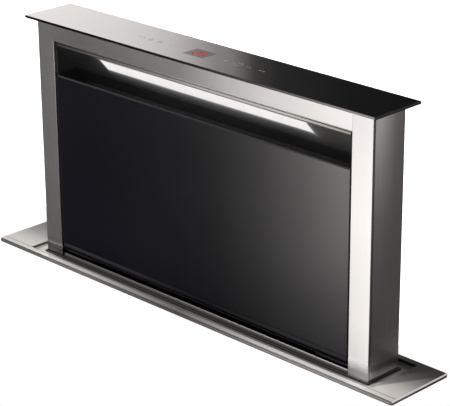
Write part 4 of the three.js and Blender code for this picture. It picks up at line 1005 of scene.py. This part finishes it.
# ---- blower, outlet and electrics ----
MOTOR_RIB = ((0.0548, 0), (0.0585, 0.0004), (0.0588, 0.0012), (0.0585, 0.002), (0.0548, 0.0024))
HUB_NUT = ((0.011, 0), (0.011, 0.002), (0.0075, 0.0032), (0.007, 0.0085), (0.0045, 0.0112),
           (0.0015, 0.012))
SPIGOT_BEAD = ((0.0748, -0.0012), (0.0757, -0.0008), (0.076, 0), (0.0757, 0.0008), (0.0748, 0.0012))
GLAND_DOME = ((0.0054, 0), (0.0098, 0), (0.0098, 0.001), (0.0088, 0.0028), (0.0068, 0.0038),
              (0.0054, 0.0038))
RIB_START, RIB_PITCH, RIB_COUNT = -0.144, 0.008, 7
HUB_NUT_Y = -0.0473
SPIGOT_BEADS_X = (0.2285, 0.2345)
GLAND_X, GLAND_Y, GLAND_TOP = -0.2115, 0.0072, 0.418
# The gland's grips: how many, their radius, foot and top.
GRIP_COUNT, GRIP_RADIUS, GRIP_LOW, GRIP_HIGH = 18, 0.0006, 0.4168, 0.4182


def make_blower_details():
    build = bmesh.new()
    for step in range(RIB_COUNT):
        place = (BLOWER_X, RIB_START + RIB_PITCH * step, BLOWER_Z)
        add_turned(build, MOTOR_RIB, seat(place, BACK), 48)
    to_piece("motor_ribs", build, "black_paint")
    build = bmesh.new()
    add_turned(build, HUB_NUT, seat((BLOWER_X, HUB_NUT_Y, BLOWER_Z), BACK), 24, closed=False)
    to_piece("hub_nut", build, "turned_steel", "blower_wheel")
    build = bmesh.new()
    for x in SPIGOT_BEADS_X:
        add_turned(build, SPIGOT_BEAD, seat((x, DUCT_Y, BLOWER_Z), RIGHT), 72)
    to_piece("spigot_beads", build, "grey_plastic")
    build = bmesh.new()
    add_turned(build, GLAND_DOME, seat((GLAND_X, GLAND_Y, GLAND_TOP), DOWN), 32)
    for x, y in circle(GLAND_DOME[1][0], GRIP_COUNT, GLAND_X, GLAND_Y):
        add_prism(build, circle(GRIP_RADIUS, 6, x, y), GRIP_LOW, GRIP_HIGH)
    to_piece("gland_dome", build, "black_plastic")


BEAD_HALF_WIDTH = 0.006
BEAD_LOW, BEAD_HIGH, BEAD_RIM = -0.0002, 0.0014, 0.001
# Each side: its face, its way, the beads' heights, and where they run from and to.
BEAD_ROWS = (
    (CASING_BACK, 1, (0.16, 0.34, 0.52), ((-0.33, -0.05), (0.072, 0.352))),
    (CASING_LOW.y, -1, (0.42, 0.62), ((-0.14, 0.12), (0.18, 0.36))),
)


def make_beads():
    """Pressed stiffening beads on the casing's broad sides."""
    build = bmesh.new()
    for face, way, rows, runs in BEAD_ROWS:
        turn = seat((0, face, 0), (0, way, 0))
        back = turn.inverted()
        for row in rows:
            for run in runs:
                tips = [back @ Vector((x, face, row)) for x in run]
                flip = math.pi if tips[0].x > tips[1].x else 0
                outline = []
                for tip, start in zip(tips, (math.pi / 2, -math.pi / 2)):
                    for i in range(9):
                        angle = start + flip + math.pi * i / 8
                        outline.append(polar(tip.x, tip.y, BEAD_HALF_WIDTH, angle))
                add_prism(build, outline, BEAD_LOW, BEAD_HIGH, turn, BEAD_RIM)
    to_piece("casing_beads", build, "zinc_sheet")


BOARD_FACE = 0.0233
# The power board's parts: width and height on it, foot, height off it, and rim.
CHIP = ((0.012, 0.006), 0, 0.0028, 0.0004)
CAPACITOR = ((0.0095, 0.016), -0.0001, 0.012, 0.0005)
RESISTOR = ((0.0018, 0.0045), 0, 0.0014, 0.0003)
PLUG = ((0.004, 0.0065), 0, 0.006, 0.0004)
CHIP_PLACES = ((-0.26, 0.505), (-0.215, 0.503), (-0.252, 0.558))
CAPACITOR_PLACES = ((-0.247, 0.512), (-0.2035, 0.512))
RESISTOR_PLACES = [(-0.312 + 0.0042 * step, 0.5 + 0.062 * row) for row in range(2) for step in range(7)]
PLUG_PLACES = [(-0.2365 + TERMINAL_PITCH * step, 0.4935) for step in range(5)]

TOUCH_CHIPS, TOUCH_CHIP_PITCH, TOUCH_CHIP_DEPTH = 12, 0.025, 0.0016
DISPLAY_ROOM = 0.02  # no chip sits nearer to the display's middle
DRIVERS, DRIVER_START, DRIVER_PITCH = 20, -0.2, 0.0212


def make_board_parts():
    turn = seat((0, BOARD_FACE, 0), FRONT)
    back = turn.inverted()
    chips = [(place, CHIP) for place in CHIP_PLACES] + [(place, CAPACITOR) for place in CAPACITOR_PLACES]
    for name, finish, parts in (
        ("board_chips", "black_plastic", chips),
        ("board_resistors", "bronze", [(place, RESISTOR) for place in RESISTOR_PLACES]),
        ("board_plugs", "white_plastic", [(place, PLUG) for place in PLUG_PLACES]),
    ):
        build = bmesh.new()
        for (x, z), ((width, tall), foot, height, rim) in parts:
            a = back @ Vector((x, BOARD_FACE, z))
            b = back @ Vector((x + width, BOARD_FACE, z + tall))
            sides = (min(a.x, b.x), min(a.y, b.y), max(a.x, b.x), max(a.y, b.y))
            add_prism(build, box_outline(*sides), foot, height, turn, rim)
        to_piece(name, build, finish)
    build = bmesh.new()
    low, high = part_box("control_board")
    under = Matrix.Translation((0, 0, high.z - TOUCH_CHIP_DEPTH)) @ Matrix.Rotation(math.pi, 4, "X")
    middle = -(low.y + high.y) / 2
    for step in range(TOUCH_CHIPS):
        x = low.x + 0.012 + TOUCH_CHIP_PITCH * step
        if abs(x + 0.003) > DISPLAY_ROOM:
            outline = box_outline(x, middle - 0.002, x + 0.005, middle + 0.002)
            add_prism(build, outline, 0, TOUCH_CHIP_DEPTH, under, 0.0003)
    to_piece("control_board_chips", build, "black_plastic", "tower")
    build = bmesh.new()
    low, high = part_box("led_board")
    tilt = Matrix.Translation((low + high) / 2) @ Matrix.Rotation(-STRIP_SLOPE, 4, "X")
    for step in range(DRIVERS):
        x = DRIVER_START + DRIVER_PITCH * step
        add_prism(build, box_outline(x, -0.003, x + 0.004, 0.001), 0.0007, 0.0019, tilt, 0.0003)
    to_piece("led_board_drivers", build, "black_plastic", "tower")


# ---- grease filters ----
FILTER_RIM = 0.0094
FILTER_FOOT = 0.0097
WIRE_PITCH = 0.0075
WIRE_HALF_WIDTH = 0.00055
SHORTEST_WIRE = 0.004
WIRE_DEPTHS = (-0.00075, 0.0001)
LAYERS = ((1, 0), (-1, 0.00035))  # each layer's lean, and how far it stands in front


def clipped(start, way, x0, y0, x1, y1):
    """The part of a line that lies inside a rectangle."""
    low, high = -10, 10
    for value, step, near, far in ((start[0], way[0], x0, x1), (start[1], way[1], y0, y1)):
        first, second = (near - value) / step, (far - value) / step
        low, high = max(low, min(first, second)), min(high, max(first, second))
    return low, high


def make_filter_mesh():
    half = math.sqrt(0.5)
    for name in SIDES:
        low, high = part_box(f"filter_{name}")
        x0, x1 = ends(low.x, high.x, FILTER_RIM)
        z0, z1 = low.z + FILTER_FOOT, high.z - FILTER_RIM
        y = low.y + 0.0015
        build = bmesh.new()
        for lean, lift in LAYERS:
            way = (half, lean * half)
            side = Vector((-way[1], way[0])) * WIRE_HALF_WIDTH
            for step in range(-40, 80):
                start = (x0 + WIRE_PITCH * step, z0 if lean > 0 else z1)
                first, last = clipped(start, way, x0, z0, x1, z1)
                if last - first < SHORTEST_WIRE:
                    continue
                tips = [Vector((start[0] + way[0] * s, start[1] + way[1] * s)) for s in (first, last)]
                outline = [tips[0] - side, tips[1] - side, tips[1] + side, tips[0] + side]
                near, far = [
                    [build.verts.new((p.x, y + depth - lift, p.y)) for p in outline]
                    for depth in WIRE_DEPTHS
                ]
                build.faces.new(near)
                build.faces.new(far)
                join_rings(build, near, far)
        to_piece(f"filter_{name}_mesh", build, "filter_mesh", "tower")


# ---- seals ----
SEAL_FRONT, SEAL_BACK, SEAL_LOW, SEAL_HIGH = 0.0605, 0.0626, 0.6675, 0.9695
FOAM_OUTLINE = (
    (0.0595, 0.9735), (0.069, 0.9735), (0.069, 0.948), (0.122, 0.948), (0.122, 0.95), (0.0595, 1.0195),
)
# The gasket's bead, black rubber just inside the plate's edge that also stands in for the shade under that
# edge: how far each corner of its section lies in, and its height.
GASKET_SECTION = ((0, 0.6501), (0, 0.6512), (0.0011, 0.6512), (0.0011, 0.6501))
GASKET_INSET = 0.0003
GASKET_CORNER = 0.0037


def make_seals():
    for name, face, gap, way in (
        ("left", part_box("left_column")[1].x, LINER_LOW.x, 1),
        ("right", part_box("right_column")[0].x, LINER_HIGH.x, -1),
    ):
        build = bmesh.new()
        near, far = sorted((face + way * 0.0002, face + way * 0.0026))
        add_prism(build, box_outline(near, SEAL_FRONT, far, SEAL_BACK), SEAL_LOW, SEAL_HIGH, inset=0.0004)
        to_piece(f"panel_seal_{name}", build, "panel_seal", "tower")
        build = bmesh.new()
        near, far = sorted((face + way * 0.0003, gap - way * 0.0004))
        join_all(build, [[build.verts.new((x, y, z)) for y, z in FOAM_OUTLINE] for x in (near, far)])
        to_piece(f"liner_end_foam_{name}", build, "liner_foam", "tower")
    build = bmesh.new()
    x0, x1 = ends(PLATE_LOW.x, PLATE_HIGH.x, GASKET_INSET)
    y0, y1 = ends(PLATE_LOW.y, PLATE_HIGH.y, GASKET_INSET)
    rings = []
    for inset, height in GASKET_SECTION:
        ring = []
        for (x, y), start in zip(((x1, y0), (x1, y1), (x0, y1), (x0, y0)), (-90, 0, 90, 180)):
            inner_x = x - math.copysign(GASKET_CORNER, x - PLATE_MIDDLE.x)
            inner_y = y - math.copysign(GASKET_CORNER, y - PLATE_MIDDLE.y)
            for i in range(7):
                spot = polar(inner_x, inner_y, GASKET_CORNER - inset, math.radians(start + 15 * i))
                ring.append(build.verts.new((*spot, height)))
        rings.append(ring)
    join_all(build, rings, closed=True)
    to_piece("gasket_bead_and_edge_shade", build, "black_rubber")


# ---- controls on the cap ----
SEGMENTS = {  # the seven bars of a digit: middle in shares of its width and height, and its way
    "a": (0.5, 1, "x"), "b": (1, 0.75, "y"), "c": (1, 0.25, "y"), "d": (0.5, 0, "x"),
    "e": (0, 0.25, "y"), "f": (0, 0.75, "y"), "g": (0.5, 0.5, "x"),
}
DIGITS = ((-0.0133, "abged"), (-0.0008, "abcdefg"))  # a 2 and an 8: left edge and bars
DIGIT_WIDTH = 0.0088
DIGIT_HEIGHT = 0.0164
BAR_HALF_LENGTH = 0.004
BAR_HALF_WIDTH = 0.0013
MARK_Y = 0.0875
MARK_LOW = 1.06402
MARK_HIGH = 1.06412
MARK_RIM = 0.00004


def bar(x, y, half_length, half_width, way):
    """A bar with pointed ends along x or y."""
    flat = half_length - half_width
    points = [
        (-half_length, 0), (-flat, -half_width), (flat, -half_width),
        (half_length, 0), (flat, half_width), (-flat, half_width),
    ]
    return [(x + a, y + b) if way == "x" else (x - b, y + a) for a, b in points]


def make_digits():
    build = bmesh.new()
    for left, bars in DIGITS:
        for segment in bars:
            x_share, y_share, way = SEGMENTS[segment]
            x = left + DIGIT_WIDTH * x_share
            y = MARK_Y + DIGIT_HEIGHT * (y_share - 0.5)
            outline = bar(x, y, BAR_HALF_LENGTH, BAR_HALF_WIDTH, way)
            add_prism(build, outline, MARK_LOW, MARK_HIGH, inset=MARK_RIM)
    to_piece("display_digits", build, "digit", "tower")


def add_ring_mark(build, x, radius, width, gap=0):
    """A ring, open over a gap at its back."""
    count = 28
    start, sweep = math.pi / 2 + gap / 2, 2 * math.pi - gap
    inner = radius - width
    rows = []
    for index in range(count + 1):
        angle = start + sweep * index / count
        rows.append([
            build.verts.new((*polar(x, MARK_Y, reach, angle), height)) for reach, height in (
                (inner, MARK_LOW), (radius, MARK_LOW), (radius, MARK_HIGH), (inner, MARK_HIGH),
            )
        ])
    join_all(build, rows)


# Plain signs on the cap. Rings: x, radius, width and gap in radians. Dots: x and radius.
RINGS = ((-0.111, 0.0042, 0.0008, 1), (-0.091, 0.0046, 0.0008), (0.078, 0.0074, 0.0011))
DOTS = ((-0.067, 0.0011), (0.1228, 0.0012), (0.127, 0.0012), (0.1312, 0.0012))
ARROW = ((0.0498, -0.0024), (0.0562, -0.0024), (0.053, 0.003))
# Bars: x, how far behind the row, half length, half width and way.
BARS = (
    (-0.1392, 0, 0.0022, 0.0006, "x"), (-0.133, 0, 0.0022, 0.0006, "x"), (-0.1268, 0, 0.0022, 0.0006, "x"),
    (-0.111, 0.0032, 0.0022, 0.0004, "y"), (-0.091, 0, 0.0024, 0.0005, "x"),
    (0.078, 0.0018, 0.0026, 0.0006, "y"), (0.0798, 0, 0.0022, 0.0006, "x"),
    (0.0972, 0, 0.002, 0.0005, "x"), (0.1028, 0, 0.002, 0.0005, "x"),
)


def make_touch_marks():
    build = bmesh.new()
    for ring in RINGS:
        add_ring_mark(build, *ring)
    marks = [bar(x, MARK_Y + behind, *rest) for x, behind, *rest in BARS]
    marks += [circle(radius, 12, x, MARK_Y) for x, radius in DOTS]
    marks.append([(x, MARK_Y + behind) for x, behind in ARROW])
    for outline in marks:
        add_prism(build, outline, MARK_LOW, MARK_HIGH, inset=MARK_RIM)
    to_piece("touch_marks", build, "touch_mark", "tower")


scene = bpy.context.scene
scene.view_settings.view_transform = "Standard"
make_world()
make_sun()
make_worktop()
make_floor()
make_room()
make_camera()
dress_nodes()
make_screw_heads()
make_threads()
make_pulley_rims()
make_belt_teeth()
make_blower_details()
make_beads()
make_board_parts()
make_filter_mesh()
make_seals()
make_digits()
make_touch_marks()
